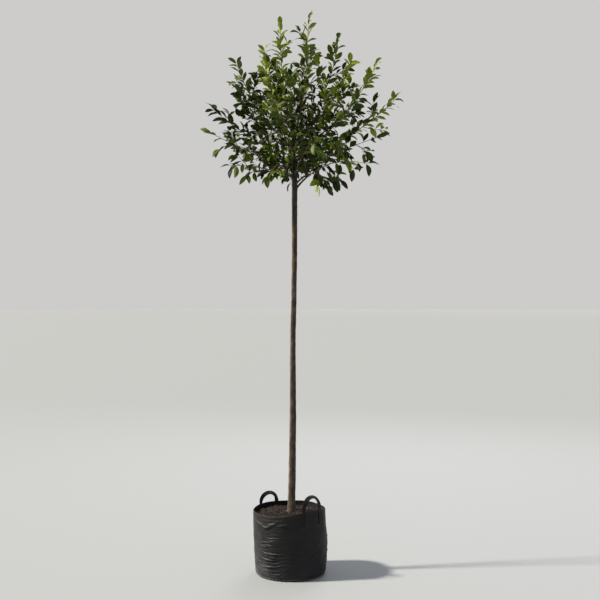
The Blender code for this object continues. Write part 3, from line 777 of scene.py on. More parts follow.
# The least light for each row, a score for young growth outside with painted sunlight on top and on the left
# and painted shade inside and low, and up to which chance each tint is dealt there
TINT_CHANCES = [
    (1.05, (("young", 0.12), ("bright", 0.60), ("green", 1.0))),
    (0.75, (("young", 0.04), ("bright", 0.32), ("green", 0.84), ("deep", 1.0))),
    (-math.inf, (("bright", 0.06), ("green", 0.36), ("deep", 1.0))),
]
Leaf = namedtuple("Leaf", "place side along face size tint")
taken = {}


def crowded(middle):
    """Whether a leaf's middle is too close to one that has already grown. If not, the place is taken."""
    cell = tuple(math.floor(value / LEAF_ROOM) for value in middle)
    near = itertools.product(*[(number - 1, number, number + 1) for number in cell])
    if any((other - middle).length < LEAF_ROOM for place in near for other in taken.get(place, ())):
        return True
    taken.setdefault(cell, []).append(middle)
    return False


def leaf_axes(direction, tilt):
    """A leaf's side, length and upper face, with the upper face as far up as it goes and then tilted."""
    along = direction.normalized()
    up = Vector((0, 0, 1)) - along * along.z
    if up.length < 0.15:
        up = Vector((0, -1, 0)) - along * -along.y
    up.normalize()
    face = (up * math.cos(tilt) + along.cross(up) * math.sin(tilt)).normalized()
    return along.cross(face).normalized(), along, face


def spray_tint(path, dice):
    """The tint of a spray: young growth outside, painted sunlight that makes it brighter on top and on the
    left, and painted shade that makes it deeper inside and low.
    """
    away = path[-1] - HEAD_CENTRE
    away = Vector(away[i] / HEAD_SIZE[i] for i in range(3))
    # Painted light: brighter on top and towards the key light on the left; painted shade: darker inside and
    # low
    light = away.length + 0.40 * away.z - 0.16 * away.x - 0.45 * smoothstep(0.35, 0.80, -away.z)
    luck = dice.random()
    chances = next(chances for least, chances in TINT_CHANCES if light > least)
    return next(tint for tint, chance in chances if luck < chance)


def grow_leaves(index, path, dice, first, spacing, scale, leaves):
    """Leaves in turn round a shoot, then two or three at its tip. One with no room is left out."""
    tint = spray_tint(path, dice)
    length = path_length(path)
    count = max(int(length * (1 - first) / spacing + 0.5), 1)
    shares = [first + (0.93 - first) * (number + 0.5) / count for number in range(count)]
    shares += [0.96, 0.98, 0.999] if path[-1].z > HEAD_BOTTOM + 0.1 else [0.97, 0.99]
    turn = dice.uniform(0, 2 * math.pi)
    for share in shares:
        place, heading = along_path(path, share)
        tip = share > 0.95
        angle = by_height(LEAF_ANGLE_LOW, LEAF_ANGLE_HIGH, place)
        angle *= (0.75 + 11 * (1 - share) if tip else 1.0) * dice.uniform(0.8, 1.2)
        size = dice.uniform(0.80, 1.12) * scale * by_height(1.06, 0.93, place)
        for _ in range(TRIES):
            turn += math.pi if tip else TURN
            direction = around(heading, angle, turn)
            droop = by_height(LEAF_DROOP_LOW, LEAF_DROOP_HIGH, place, DROOP_BOTTOM, DROOP_TOP)
            direction.z -= droop * (1 - abs(heading.z)) * dice.uniform(0.5, 1.5)
            side, along, face = leaf_axes(direction, dice.uniform(-1.15, 1.15))
            ends = [place + along * (LEAF_LENGTH * size * part) for part in (0.3, 0.6, 0.95)]
            middle = ends[0].lerp(ends[1], 0.7)
            if space.holds(index, ends, -0.030) and not crowded(middle):
                leaves.append(Leaf(place, side, along, face, size, tint))
                break


leaves = []
for index, path in stems + twigs:
    spacing = by_height(LEAF_SPACING_LOW, LEAF_SPACING_HIGH, path[-1])
    grow_leaves(index, path, random.Random(SEED + len(leaves)), 0.12, spacing, 1.0, leaves)
for index, path in shoots:
    grow_leaves(index, path, random.Random(SEED + len(leaves)), 0.22, SHOOT_LEAF_SPACING,
                SHOOT_LEAF_SCALE, leaves)
print(len(leaves), "leaves")

# %% [markdown]
# Each leaf's mesh is worked out at once for all leaves of a tint, as arrays: seven stations along the
# midrib, each with a left edge, a right edge, a midrib on top and one below. The blade follows an arc,
# which curls it, and its halves are lifted by the fold. A three-sided stalk joins it to its shoot.

# %% Leaf material
# The real leaf is a waxy cuticle over green tissue. The wax is clear, with an IOR near 1.43, and gives
# small soft highlights over the colour. The underside has no such wax: it is paler and dull.
VEIN_PAIRS = 8


def leaf_material(name, upper, midrib, roughness, shine):
    """A leaf's skin. Fine veins leave the midrib at an angle, and are drawn a little wider than life."""
    made, tree = new_material(name)
    parts = add(tree, "SeparateXYZ", {"Vector": add(tree, "UVMap", uv_map="surface")})
    away = maths(tree, "SUBTRACT", parts.outputs["X"], 0.5)
    out = maths(tree, "ABSOLUTE", away)
    rib = remap(tree, out, 0.02, 0.075, 1.0, 0.0)
    slant = maths(tree, "MULTIPLY_ADD", out, -0.55, parts.outputs["Y"])
    beat = maths(tree, "MULTIPLY", slant, 2 * math.pi * VEIN_PAIRS)
    wave = maths(tree, "COSINE", beat)
    vein = remap(tree, wave, 0.75, 1.0)
    height = maths(tree, "ADD", rib, vein)
    bump = raised(tree, height, 0.35, 0.35 * MM)
    line = maths(tree, "MULTIPLY", rib, 0.55)
    colour = blend(tree, line, linear(upper), linear(midrib))
    finish_material(tree, Base_Color=colour, Roughness=roughness, IOR=1.43, Specular_IOR_Level=shine,
                    Normal=bump)
    return made


# The colours of the upper side, the midrib and the underside
TINTS = {
    "deep": ("#182304", "#364513", "#334216"),
    "green": ("#3C4D08", "#5F7022", "#576827"),
    "bright": ("#6A7D0F", "#909E38", "#7A8B31"),
    "young": ("#76841A", "#98A23E", "#7F8A2E"),
}

# %% Leaf meshes
BLADE = [(0.00, 0.06), (0.10, 0.44), (0.26, 0.84), (0.45, 1.00), (0.64, 0.90), (0.80, 0.60), (0.92, 0.26)]
LEAF_WIDTH = 0.0300
LEAF_THICKNESS = 0.45 * MM
STALK_LENGTH = 6 * MM
STALK_RADIUS = 0.7 * MM
STALK_SINK = 1.0 * MM
LEFT, TOP, RIGHT, UNDER = range(4)
STATIONS = len(BLADE)
TIP_POINT = 4 * STATIONS
LEAF_POINTS = TIP_POINT + 7


def leaf_faces():
    """One leaf's faces as (corners, material number): upper side 0, underside and stalk 1."""
    faces = []
    for station in range(STATIONS - 1):
        near, far = 4 * station, 4 * (station + 1)
        faces.append(((near + LEFT, near + TOP, far + TOP, far + LEFT), 0))
        faces.append(((near + TOP, near + RIGHT, far + RIGHT, far + TOP), 0))
        faces.append(((near + LEFT, far + LEFT, far + UNDER, near + UNDER), 1))
        faces.append(((near + UNDER, far + UNDER, far + RIGHT, near + RIGHT), 1))
    last = 4 * (STATIONS - 1)
    faces += [((last + LEFT, last + TOP, TIP_POINT), 0), ((last + TOP, last + RIGHT, TIP_POINT), 0),
              ((last + LEFT, TIP_POINT, last + UNDER), 1), ((last + UNDER, TIP_POINT, last + RIGHT), 1),
              ((LEFT, UNDER, RIGHT, TOP), 1)]
    foot, head = TIP_POINT + 1, TIP_POINT + 4
    for i in range(3):
        j = (i + 1) % 3
        faces.append(((foot + i, foot + j, head + j, head + i), 1))
    faces += [((foot + 2, foot + 1, foot), 1), ((head, head + 1, head + 2), 1)]
    return faces


def leaf_points(own, dice):
    """The points of all leaves in a list, as (leaves, points, 3)."""
    count = len(own)
    sizes = np.array([leaf.size for leaf in own])[:, None]
    length = LEAF_LENGTH * sizes
    width = LEAF_WIDTH * sizes * dice.uniform(0.85, 1.12, (count, 1))
    fold = dice.uniform(0.12, 0.45, (count, 1))
    curl = dice.uniform(0.15, 1.05, (count, 1))
    twist = dice.uniform(-0.35, 0.35, (count, 1))
    sway = dice.uniform(-0.22, 0.22, (count, 1))
    wave = dice.uniform(0, 2 * math.pi, (count, 2))
    local = np.zeros((count, LEAF_POINTS, 3))
    for number, (share, half) in enumerate(BLADE + [(1.0, 0.0)]):
        bend = curl * (share + 0.9 * max(share - 0.7, 0))
        y = STALK_LENGTH + length * np.sin(curl * share) / curl
        z = -length * (1 - np.cos(curl * share)) / curl
        x = sway * length * share**2 * 0.5
        middle = np.concatenate([x, y, z], axis=1)
        normal = np.concatenate([0 * x, np.sin(bend), np.cos(bend)], axis=1)
        if number == STATIONS:
            local[:, TIP_POINT] = middle
            break
        local[:, 4 * number + TOP] = middle
        local[:, 4 * number + UNDER] = middle - normal * LEAF_THICKNESS
        reach = half * width / 2
        for sign, corner, phase in ((-1, LEFT, 0), (1, RIGHT, 1)):
            rise = fold + sign * twist * share
            ripple = 0.05 * width * half * np.sin(7.0 * share + wave[:, phase:phase + 1])
            edge = middle + normal * (reach * np.sin(rise) + ripple)
            edge[:, :1] += sign * reach * np.cos(rise)
            local[:, 4 * number + corner] = edge
    for i in range(3):
        turn = 2 * math.pi * i / 3 + math.pi / 2
        ring = np.array((-math.cos(turn), 0.0, math.sin(turn))) * STALK_RADIUS
        local[:, TIP_POINT + 1 + i] = ring + (0, -STALK_SINK, 0)
        local[:, TIP_POINT + 4 + i] = ring * 0.8 + (0, STALK_LENGTH + 2 * MM, -0.3 * MM)
    axes = np.array([[tuple(leaf.side), tuple(leaf.along), tuple(leaf.face)] for leaf in own])
    places = np.array([tuple(leaf.place) for leaf in own])
    return np.einsum("npk,nkc->npc", local, axes) + places[:, None]


def leaf_uvs():
    """Across and along the blade, from 0 to 1, for one leaf's points."""
    uvs = []
    for share, half in BLADE:
        uvs += [(0.5 - half / 2, share), (0.5, share), (0.5 + half / 2, share), (0.5, share)]
    return uvs + [(0.5, 1.0)] + [(0.5, 0.0)] * 6


def build_leaves(tint):
    """All leaves of a tint as one piece, with sharp edges along the rim and the midrib of each blade."""
    own = [leaf for leaf in leaves if leaf.tint == tint]
    points = leaf_points(own, np.random.default_rng(SEED + len(tint)))
    one, uvs = leaf_faces(), leaf_uvs()
    heap = Heap()
    heap.points = [points.reshape(-1, 3)]
    offsets = [LEAF_POINTS * number for number in range(len(own))]
    heap.faces = [[corner + offset for corner in face] for offset in offsets for face, _ in one]
    heap.numbers = [number for _, number in one] * len(own)
    heap.uvs = [uvs[corner] for face, _ in one for corner in face] * len(own)
    upper, midrib, lower = TINTS[tint]
    materials = [leaf_material(f"waxy_leaf_{tint}", upper, midrib, 0.46, 0.22),
                 leaf_material(f"dull_leaf_underside_{tint}", lower, midrib, 0.64, 0.12)]
    piece = heap.build("leaves_" + tint, materials, "leaf", FOLIAGE_NODES)
    ends = np.zeros(2 * len(piece.data.edges), int)
    piece.data.edges.foreach_get("vertices", ends)
    ends = ends.reshape(-1, 2) % LEAF_POINTS
    blade = (ends <= TIP_POINT).all(axis=1)
    kinds = np.where(ends == TIP_POINT, -1, ends % 4)
    alike = (kinds[:, 0] == kinds[:, 1]) | (kinds == -1).any(axis=1)
    sharp = piece.data.attributes.new("sharp_edge", "BOOLEAN", "EDGE")
    sharp.data.foreach_set("value", blade & alike)


for tint in TINTS:
    build_leaves(tint)

# %% [markdown]
# ## The planter bag
# The bag is black polythene film, soft enough to crease under the soil's weight and a little shiny. It is a
# lofted shell: rings of points that follow the wall up, over a folded hem and down the inside. Its rim
# rises at the front handle and sags between the handles. Each crease is a raised line with a hollow on
# either side, placed where the photograph shows one, and smaller seeded wrinkles and dents go all round.

# %% Bag shape, as in the source
BAG_RADIUS = 0.200
BAG_HEIGHT = 0.350
BAG_RIM_RADIUS = 0.195
BAG_FOOT_RADIUS = 0.195
BAG_CORNER = 0.028
BAG_WALL = 0.003
BAG_OVAL = 0.010
BAG_LEAN = 0.005
RIM_START = 0.252
RIM_RISE = 0.018
RIM_DIP = 0.008
HANDLE_BEARING = 129.5
HANDLE_HALF_ANGLE = 16.5
HANDLE_TAIL = 0.062
STRAP_WIDTH = 0.023
STRAP_THICKNESS = 0.0025


def wall_radius(height):
    """The bag's outer radius at a height: nearly upright, with a slight belly, over a rounded foot."""
    if height < BAG_CORNER:
        return BAG_FOOT_RADIUS - BAG_CORNER + math.sqrt(BAG_CORNER**2 - (BAG_CORNER - height) ** 2)
    share = (height - BAG_CORNER) / (BAG_HEIGHT - BAG_CORNER)
    straight = BAG_FOOT_RADIUS + (BAG_RIM_RADIUS - BAG_FOOT_RADIUS) * share
    belly = BAG_RADIUS - (BAG_FOOT_RADIUS + BAG_RIM_RADIUS) / 2
    return straight + belly * math.sin(math.pi * share)


def bearing_gap(bearing, other):
    """How many degrees a bearing is past another one, between -180 and 180."""
    return (bearing - other + 180) % 360 - 180


def rim_lift(bearing):
    """How far the rim stands above its mean height: the handles pull it up, and it dips between."""
    lift = 0.0
    for centre, height, spread in (
        (HANDLE_BEARING + 180, RIM_RISE, 34),
        (HANDLE_BEARING, RIM_RISE * 0.3, 30),
        (HANDLE_BEARING - 62, RIM_RISE * 0.3, 30),
        (HANDLE_BEARING + 104, -RIM_DIP, 34),
    ):
        lift += height * math.exp(-((bearing_gap(math.degrees(bearing), centre) / spread) ** 2))
    return lift


def bag_stretch(bearing, height):
    """The rim is a little oval, and the foot is round."""
    return 1 + BAG_OVAL * math.sin(2 * bearing + 0.6) * smoothstep(0, BAG_HEIGHT, height)


def bag_place(bearing, height, radius):
    """A point of the bag: settled, so that it leans a little and its rim rises and dips."""
    stretch = bag_stretch(bearing, height)
    lift = rim_lift(bearing) * smoothstep(RIM_START, BAG_HEIGHT, height)
    lean = -BAG_LEAN * smoothstep(BAG_HEIGHT * 0.3, BAG_HEIGHT, height)
    x, y = math.cos(bearing) * radius * stretch + lean, math.sin(bearing) * radius * stretch
    return Vector((x, y, height + lift))


# %% Creases
# Bearing and height of a crease's middle, half its length in degrees, rise in mm for each degree, depth and
# thickness in mm, and how much its ends turn up, in mm for each degree squared
CREASES = [
    (215, 0.296, 13, -1.05, 4.6, 13.0, 0.010),
    (238, 0.293, 10, 1.60, 5.0, 14.0, 0.010),
    (229, 0.280, 9, 0.10, 2.0, 10.0, 0.060),
    (234, 0.302, 6, 0.40, 1.8, 9.0, 0.0),
    (260, 0.300, 9, 0.35, 2.8, 8.0, -0.010),
    (246, 0.324, 16, 0.10, 1.4, 7.0, 0.0),
    (250, 0.229, 10, 0.20, 1.5, 5.0, 0.0),
    (234, 0.222, 9, 0.10, 1.5, 5.5, 0.0),
    (248, 0.246, 9, 0.30, 1.4, 5.0, 0.0),
    (257, 0.267, 8, 0.35, 1.5, 5.0, 0.0),
    (232, 0.203, 15, 0.40, 2.6, 7.5, 0.0),
    (229, 0.183, 13, 0.30, 1.9, 5.0, 0.0),
    (222, 0.160, 12, 0.15, 1.6, 5.0, 0.0),
    (236, 0.141, 24, 0.10, 3.0, 6.5, 0.006),
    (231, 0.113, 20, -0.35, 5.0, 7.5, 0.010),
    (252, 0.124, 14, 0.15, 1.8, 4.5, 0.0),
    (224, 0.092, 14, 0.05, 2.0, 4.5, 0.010),
    (226, 0.069, 14, 0.20, 3.0, 6.5, 0.010),
    (262, 0.085, 13, 0.15, 2.0, 4.5, 0.0),
    (233, 0.052, 20, 0.00, 1.8, 4.5, 0.006),
    (246, 0.036, 18, 0.10, 1.5, 4.5, 0.004),
    (308, 0.135, 12, 0.05, 1.5, 4.5, 0.0),
    (305, 0.108, 16, 0.10, 1.7, 4.5, 0.004),
    (280, 0.114, 13, -0.05, 1.3, 4.5, 0.0),
    (322, 0.108, 9, -0.10, 1.3, 4.0, 0.0),
    (330, 0.080, 14, 0.10, 1.4, 5.0, 0.0),
    (345, 0.255, 12, -0.60, 1.6, 6.0, 0.0),
    (285, 0.240, 18, 0.15, 0.9, 7.0, 0.0),
]
WRINKLE_SPACING = 17 * MM
WRINKLE_DEPTH, DENT_DEPTH = 4.2 * MM, 4.0 * MM
SAG, SAG_BEARING, SAG_SPREAD = 24 * MM, 245, 40
# Each creased area's middle as a bearing and a height, its spread in degrees and metres, and its amount
CREASED_AREAS = [(228, 0.100, 30, 0.080, 1.0), (238, 0.215, 22, 0.055, 0.6), (308, 0.120, 30, 0.045, 0.40),
                 (20, 0.130, 48, 0.110, 0.80), (120, 0.110, 52, 0.110, 0.90)]


def wrinkle(bearing, height):
    """Soft dents, and wrinkles that sag between creased places and come and go along their length."""
    turn = math.radians(bearing)
    east, north = BAG_RADIUS * math.cos(turn), BAG_RADIUS * math.sin(turn)
    place = Vector((east, north, height))
    away = bearing_gap(bearing, SAG_BEARING) / SAG_SPREAD
    level = height - SAG * (away**2 if abs(away) < 1 else 2 * abs(away) - 1) * (abs(away) < 2)
    phase = level / WRINKLE_SPACING + 1.5 * noise.noise(place * 9) + 0.35 * noise.noise(place * 34)
    wave = (0.5 + 0.5 * math.cos(2 * math.pi * phase)) ** 1.7
    stretched = Vector((east * 13, north * 13, level * 42))
    wave *= smoothstep(-0.22, 0.30, noise.noise(stretched + Vector((3, 1, 4))))
    crest = max(1 - abs(noise.noise(stretched)) / 0.40, 0.0) ** 2
    area = 0.12
    for middle, centre, spread, tall, amount in CREASED_AREAS:
        off = bearing_gap(bearing, middle) / spread
        area += amount * math.exp(-off**2 - ((height - centre) / tall) ** 2)
    dent = noise.noise(Vector((east * 11, north * 11, height * 17 + 3)))
    dented = DENT_DEPTH * dent * (0.35 + 0.65 * min(area, 1.0))
    return WRINKLE_DEPTH * area * (wave + 0.35 * crest - 0.3) + dented


def crease_relief(bearings, heights):
    """The sum of all creases over arrays of bearings in degrees and heights in metres, in metres."""
    relief = np.zeros(np.broadcast(bearings, heights).shape)
    for centre, level, half, slope, depth, thick, bend in CREASES:
        away = bearing_gap(bearings, centre)
        line = level + (slope * away + bend * away**2) * MM
        across = (heights - line) / (thick * MM)
        ridge = (1 - 1.3 * across**2) * np.exp(-across**2)
        relief += depth * MM * ridge * np.exp(-np.abs(away / half) ** 3)
    return relief


# %% Bag wall
BAG_SIDES = 288
WALL_STEP = 2.2 * MM
HEM_HEIGHT = 17 * MM
HEM_THICKNESS = 0.9 * MM
HEM_LINE = BAG_HEIGHT - HEM_HEIGHT
PUCKER = 0.7 * MM
SEAM_HEIGHT = 8 * MM
SEAM_DEPTH, SEAM_SPREAD = 3.2 * MM, 2.4 * MM
GATHER, GATHER_SPREAD = 0.6 * MM, 8 * MM
# How many soft waves go round the wall, their size in mm, their drift with height and their phase
SOFT_WAVES = ((3, 1.6, 9, 0.4), (5, 1.2, -14, 2.1), (8, 0.8, 22, 4.4), (13, 0.45, -30, 1.3))
# How far below the top and how far inside the wall the rim's four rings lie, in mm
RIM_FOLD = ((0.3, 0.7), (-0.2, 1.9), (0.4, 3.2), (1.6, 3.9))
RIM_DROP = 1.2 * MM
INNER_WALL_END = 0.295
UNDERSIDE_RADII = (0.04, 0.10, 0.15)
LOWEST_LEVEL = 0.6 * MM
# The wall's inner side and the soil both end below the soil's surface, where nothing shows
HIDDEN_FLOOR, HIDDEN_RADIUS = 0.290, 0.150


def held_flat(bearings, heights):
    """How far the wall is held flat by what is sewn to it: 1 beneath the straps' tails, 0 elsewhere."""
    held = np.zeros(np.broadcast(bearings, heights).shape)
    for handle in (HANDLE_BEARING, HANDLE_BEARING + 180):
        for foot in (handle - HANDLE_HALF_ANGLE, handle + HANDLE_HALF_ANGLE):
            away = np.radians(np.abs(bearing_gap(bearings, foot))) * BAG_RADIUS - STRAP_WIDTH / 2
            held = np.maximum(held, 1 - smoothstep(2 * MM, 16 * MM, away))
    low_end = BAG_HEIGHT - HANDLE_TAIL
    return held * smoothstep(low_end - 22 * MM, low_end - 4 * MM, heights)


def outer_relief(bearings, heights):
    """Everything that moves the outside of the wall in or out."""
    soft = np.zeros(np.broadcast(bearings, heights).shape)
    turns = np.radians(bearings)
    for waves, size, drift, phase in SOFT_WAVES:
        soft += size * MM * np.sin(waves * turns + drift * heights + phase)
    soft *= smoothstep(0.0, 0.06, heights)
    wrinkled = np.vectorize(wrinkle)(bearings, heights)
    creased = (crease_relief(bearings, heights) + wrinkled) * smoothstep(0.004, 0.03, heights)
    creased *= 1 - smoothstep(HEM_LINE - 8 * MM, HEM_LINE, heights)
    hem = HEM_THICKNESS * smoothstep(HEM_LINE - 1.5 * MM, HEM_LINE + 1.5 * MM, heights)
    under_hem = np.exp(-(((heights - HEM_LINE + 5 * MM) / (6 * MM)) ** 2))
    pucker = PUCKER * under_hem * np.sin(turns * 71 + 2.0 * np.sin(turns * 9))
    seam = SEAM_DEPTH * np.exp(-(((heights - SEAM_HEIGHT) / SEAM_SPREAD) ** 2))
    gather = GATHER * np.exp(-(((heights - SEAM_HEIGHT) / GATHER_SPREAD) ** 2)) * np.sin(turns * 57)
    return (soft + creased + pucker) * (1 - held_flat(bearings, heights)) + hem + seam + gather


def bag_ring(level, radii, lift=0.0):
    """A ring of points at a level, with a radius for each bearing."""
    raised = Vector((0, 0, lift))
    return [bag_place(math.radians(b), level, radius) + raised for b, radius in zip(bearings, radii)]


bearings = np.degrees(even_turns(BAG_SIDES))
corner_levels = np.linspace(LOWEST_LEVEL, BAG_CORNER, 20)[:-1]
levels = [*corner_levels, *np.arange(BAG_CORNER, BAG_HEIGHT - RIM_DROP, WALL_STEP)]
rows = [bag_ring(0.0, [radius] * BAG_SIDES) for radius in UNDERSIDE_RADII]
relief = outer_relief(bearings[None, :], np.array(levels)[:, None])
rows += [bag_ring(level, wall_radius(level) + outs) for level, outs in zip(levels, relief)]
outs = outer_relief(bearings, np.full(BAG_SIDES, BAG_HEIGHT - RIM_DROP))
for drop, inset in RIM_FOLD:
    radii = wall_radius(BAG_HEIGHT) + outs - inset * MM
    rows.append(bag_ring(min(BAG_HEIGHT - drop * MM, BAG_HEIGHT), radii, max(-drop * MM, 0)))
for level in np.arange(BAG_HEIGHT - 4 * MM, INNER_WALL_END, -3 * MM):
    ripple = outer_relief(bearings, np.full(BAG_SIDES, level)) * 0.8 * smoothstep(0.31, 0.34, level)
    rows.append(bag_ring(level, wall_radius(level) - BAG_WALL + ripple))
rows.append(bag_ring(HIDDEN_FLOOR, [HIDDEN_RADIUS] * BAG_SIDES))
print("bag:", len(rows), "rings of", BAG_SIDES, "points")

# %% Film material
# Low-density polythene, blown as film and coloured with carbon black. Its IOR is 1.51. The skin is not
# polished, so highlights are broad and grey, and they break up on fine crinkles a few millimetres across.
# The side that faces the key light on the left is painted paler, as a painted sheen, mottled with dust. More
# dust lies low on the wall, and the film is paler along the ledge of the foot seam.
film, tree = new_material("black_polythene_film")
coordinates = add(tree, "TexCoord")
place = coordinates.outputs["Object"]
crinkle = add(tree, "TexNoise", {"Vector": place, "Scale": 1 / (9 * MM), "Detail": 6.0, "Roughness": 0.55,
                                 "Distortion": 0.6})
flat = add(tree, "Mapping", {"Vector": place, "Scale": (1.0, 1.0, 3.2)})
lines = add(tree, "TexNoise", {"Vector": flat, "Scale": 1 / (34 * MM), "Detail": 5.0})
height = maths(tree, "MULTIPLY_ADD", lines, 3.0, crinkle)
bump = raised(tree, height, 0.55, 1.0 * MM)
dust = add(tree, "TexNoise", {"Vector": place, "Scale": 1 / (45 * MM), "Detail": 6.0, "Roughness": 0.7})
level = add(tree, "SeparateXYZ", {"Vector": place})
low = remap(tree, level.outputs["Z"], 0.0, 0.16, 0.75, 0.15)
facing = add(tree, "SeparateXYZ", {"Vector": coordinates.outputs["Normal"]})
# Painted sheen: the wall that faces the key light on the left is painted paler
painted_sheen_side = remap(tree, facing.outputs["X"], -0.30, -0.85, 0.0, 0.8)
# The film is paler along the ledge of the foot seam
ledge = maths(tree, "COMPARE", level.outputs["Z"], SEAM_HEIGHT + 1.5 * MM, 3 * MM)
settled = maths(tree, "MULTIPLY_ADD", ledge, 0.8, low)
dust_and_painted_sheen = maths(tree, "ADD", settled, painted_sheen_side)
dust_and_sheen_share = maths(tree, "MULTIPLY", dust, dust_and_painted_sheen)
# The paler stops hold the dust and the painted sheen
colour = ramp(tree, dust_and_sheen_share, [(0.10, "#08090C"), (1.00, "#605F60"), (0.28, "#0F1014"), (0.60, "#2D2D31")])
rough = remap(tree, dust, 0.3, 0.7, 0.52, 0.66)
finish_material(tree, Base_Color=colour, Roughness=rough, IOR=1.51, Specular_IOR_Level=0.29, Normal=bump)
heap = Heap()
heap.add([tuple(point) for row in rows for point in row], ring_faces(len(rows), BAG_SIDES))
heap.build("planter_bag", [film], "bag", ["bag"])

# %% [markdown]
# ## Potting soil
# The bag is filled to just under its rim with a peaty, bark-based mix: dark red-brown crumbs with chips of
# bark. The surface is a fine grid that is heaved by noise, and some 2,600 loose crumbs and chips lie on it.

# %% Soil surface
SOIL_EDGE_HEIGHT = 0.322
SOIL_PAD_RADIUS = 0.040
SOIL_SIDES, SOIL_RINGS = 160, 76
SOIL_INSET = BAG_WALL + 2.5 * MM


def soil_height(x, y):
    """The level of the soil: mounded to the trunk, and crumbly."""
    radius = math.hypot(x, y)
    edge = wall_radius(SOIL_EDGE_HEIGHT)
    share = min(max((radius - SOIL_PAD_RADIUS) / (edge - SOIL_PAD_RADIUS), 0.0), 1.0)
    level = SOIL_TOP - (SOIL_TOP - SOIL_EDGE_HEIGHT) * share**1.6
    lift = rim_lift(math.atan2(y, x)) * 0.6 * smoothstep(0.6 * BAG_RADIUS, 0.95 * BAG_RADIUS, radius)
    place = Vector((x, y, 0.0))
    heave = 5.0 * MM * noise.noise(place * 16.0) + 3.0 * MM * noise.noise(place * 45.0)
    crumbs = 2.2 * MM * abs(noise.noise(place * 120.0)) + 1.2 * MM * noise.noise(place * 260.0)
    return level + lift + (heave + crumbs) * smoothstep(0.02, 0.045, radius)


def soil_spot(radius, turn):
    """Where a spot of the soil lies: the bag's lean moves its middle to one side."""
    return radius * math.cos(turn) - BAG_LEAN * 0.9, radius * math.sin(turn)


rows = []
edge = wall_radius(SOIL_EDGE_HEIGHT) - SOIL_INSET
for radius in np.linspace(0.002, edge, SOIL_RINGS):
    spots = [soil_spot(radius, turn) for turn in even_turns(SOIL_SIDES)]
    rows.append([(x, y, soil_height(x, y)) for x, y in spots])
rows.append([(x, y, z - 0.02) for x, y, z in rows[-1]])
rows.append([(x * 0.1, y * 0.1, HIDDEN_FLOOR) for x, y, z in rows[-1]])
rows.reverse()

# %% Soil materials
def crumb_material(name, dark, middle, pale, grain):
    """Damp bark and peat: dull, rough and broken up in colour."""
    made, tree = new_material(name)
    place = add(tree, "TexCoord").outputs["Object"]
    grains = add(tree, "TexNoise", {"Vector": place, "Scale": 1 / grain, "Detail": 5.0, "Roughness": 0.7})
    patch = add(tree, "TexVoronoi", {"Vector": place, "Scale": 1 / (9 * MM)})
    hue = add(tree, "SeparateColor", {"Color": patch.outputs["Color"]})
    both = maths(tree, "ADD", grains, hue)
    half = maths(tree, "MULTIPLY", both, 0.5)
    colour = ramp(tree, half, [(0.30, dark), (0.78, pale), (0.55, middle)])
    bump = raised(tree, grains, 0.9, 1.2 * MM)
    finish_material(tree, Base_Color=colour, Roughness=0.9, IOR=1.4, Normal=bump)
    return made


peat = crumb_material("damp_peat_crumbs", "#0F0C0A", "#1B1613", "#30261E", 4 * MM)
bark_chip = crumb_material("bark_chips", "#191310", "#2E241E", "#54443A", 3 * MM)
heap = Heap()
heap.add([point for row in rows for point in row], ring_faces(len(rows), SOIL_SIDES))
heap.build("potting_soil", [peat], "soil", ["soil"])

# %% Loose crumbs and chips
CRUMBS = 2600
CHIP_SHARE = 0.36
BARE_AT_TRUNK = 0.030
GOLDEN = (1 + 5**0.5) / 2
BALL = unit(np.array([(0, a, b * GOLDEN) for a in (-1, 1) for b in (-1, 1)]
                     + [(a, b * GOLDEN, 0) for a in (-1, 1) for b in (-1, 1)]
                     + [(b * GOLDEN, 0, a) for a in (-1, 1) for b in (-1, 1)], float))


def hull_faces(points):
    """The triangles of a convex solid's points, each seen from outside."""
    faces = []
    count = len(points)
    for a in range(count):
        for b in range(a + 1, count):
            for c in range(b + 1, count):
                normal = np.cross(points[b] - points[a], points[c] - points[a])
                sides = (points - points[a]) @ normal
                if (sides <= 1e-9).all():
                    faces.append((a, b, c))
                elif (sides >= -1e-9).all():
                    faces.append((a, c, b))
    return faces


BALL_FACES = hull_faces(BALL)
dice = np.random.default_rng(SEED)
heaps = {"peat_crumbs": Heap(), "bark_chips": Heap()}
for number in range(CRUMBS):
    radius = (edge - 4 * MM) * math.sqrt(dice.uniform(0.03, 1.0))
    x, y = soil_spot(radius, dice.uniform(0, 2 * math.pi))
    if math.hypot(x - 0.004, y) < BARE_AT_TRUNK:
        continue
    chip = dice.random() < CHIP_SHARE
    size = dice.uniform(3.5, 9.5) * MM if chip else dice.uniform(2.0, 5.5) * MM
    shape = np.array((1.0, dice.uniform(0.45, 0.8), dice.uniform(0.25, 0.45) if chip else 0.7)) * size
    points = BALL * dice.uniform(0.72, 1.12, (len(BALL), 1)) * shape
    roll, lean_x, lean_y = dice.uniform(0, 2 * math.pi), dice.normal(0, 0.35), dice.normal(0, 0.35)
    turned = points @ np.array(Matrix.Rotation(roll, 3, "Z") @ Matrix.Rotation(lean_x, 3, "X")
                               @ Matrix.Rotation(lean_y, 3, "Y")).T
    level = soil_height(x, y) + shape[2] * 0.35
    heaps["bark_chips" if chip else "peat_crumbs"].add(turned + (x, y, level), BALL_FACES)
heaps["peat_crumbs"].build("peat_crumbs", [peat], "soil", smooth=False)
heaps["bark_chips"].build("bark_chips", [bark_chip], "soil", smooth=False)

# %% [markdown]
# ## Handles
# Two loops of flat black webbing, woven from polypropylene yarn, are sewn to the outside of the bag
# opposite each other. Each strap follows its CAD solid's line to within a millimetre: up the wall, over in
# a loop that twists a little, and down again. Its section is flat with fuller edges, and a box of stitches
# with a cross holds each tail.

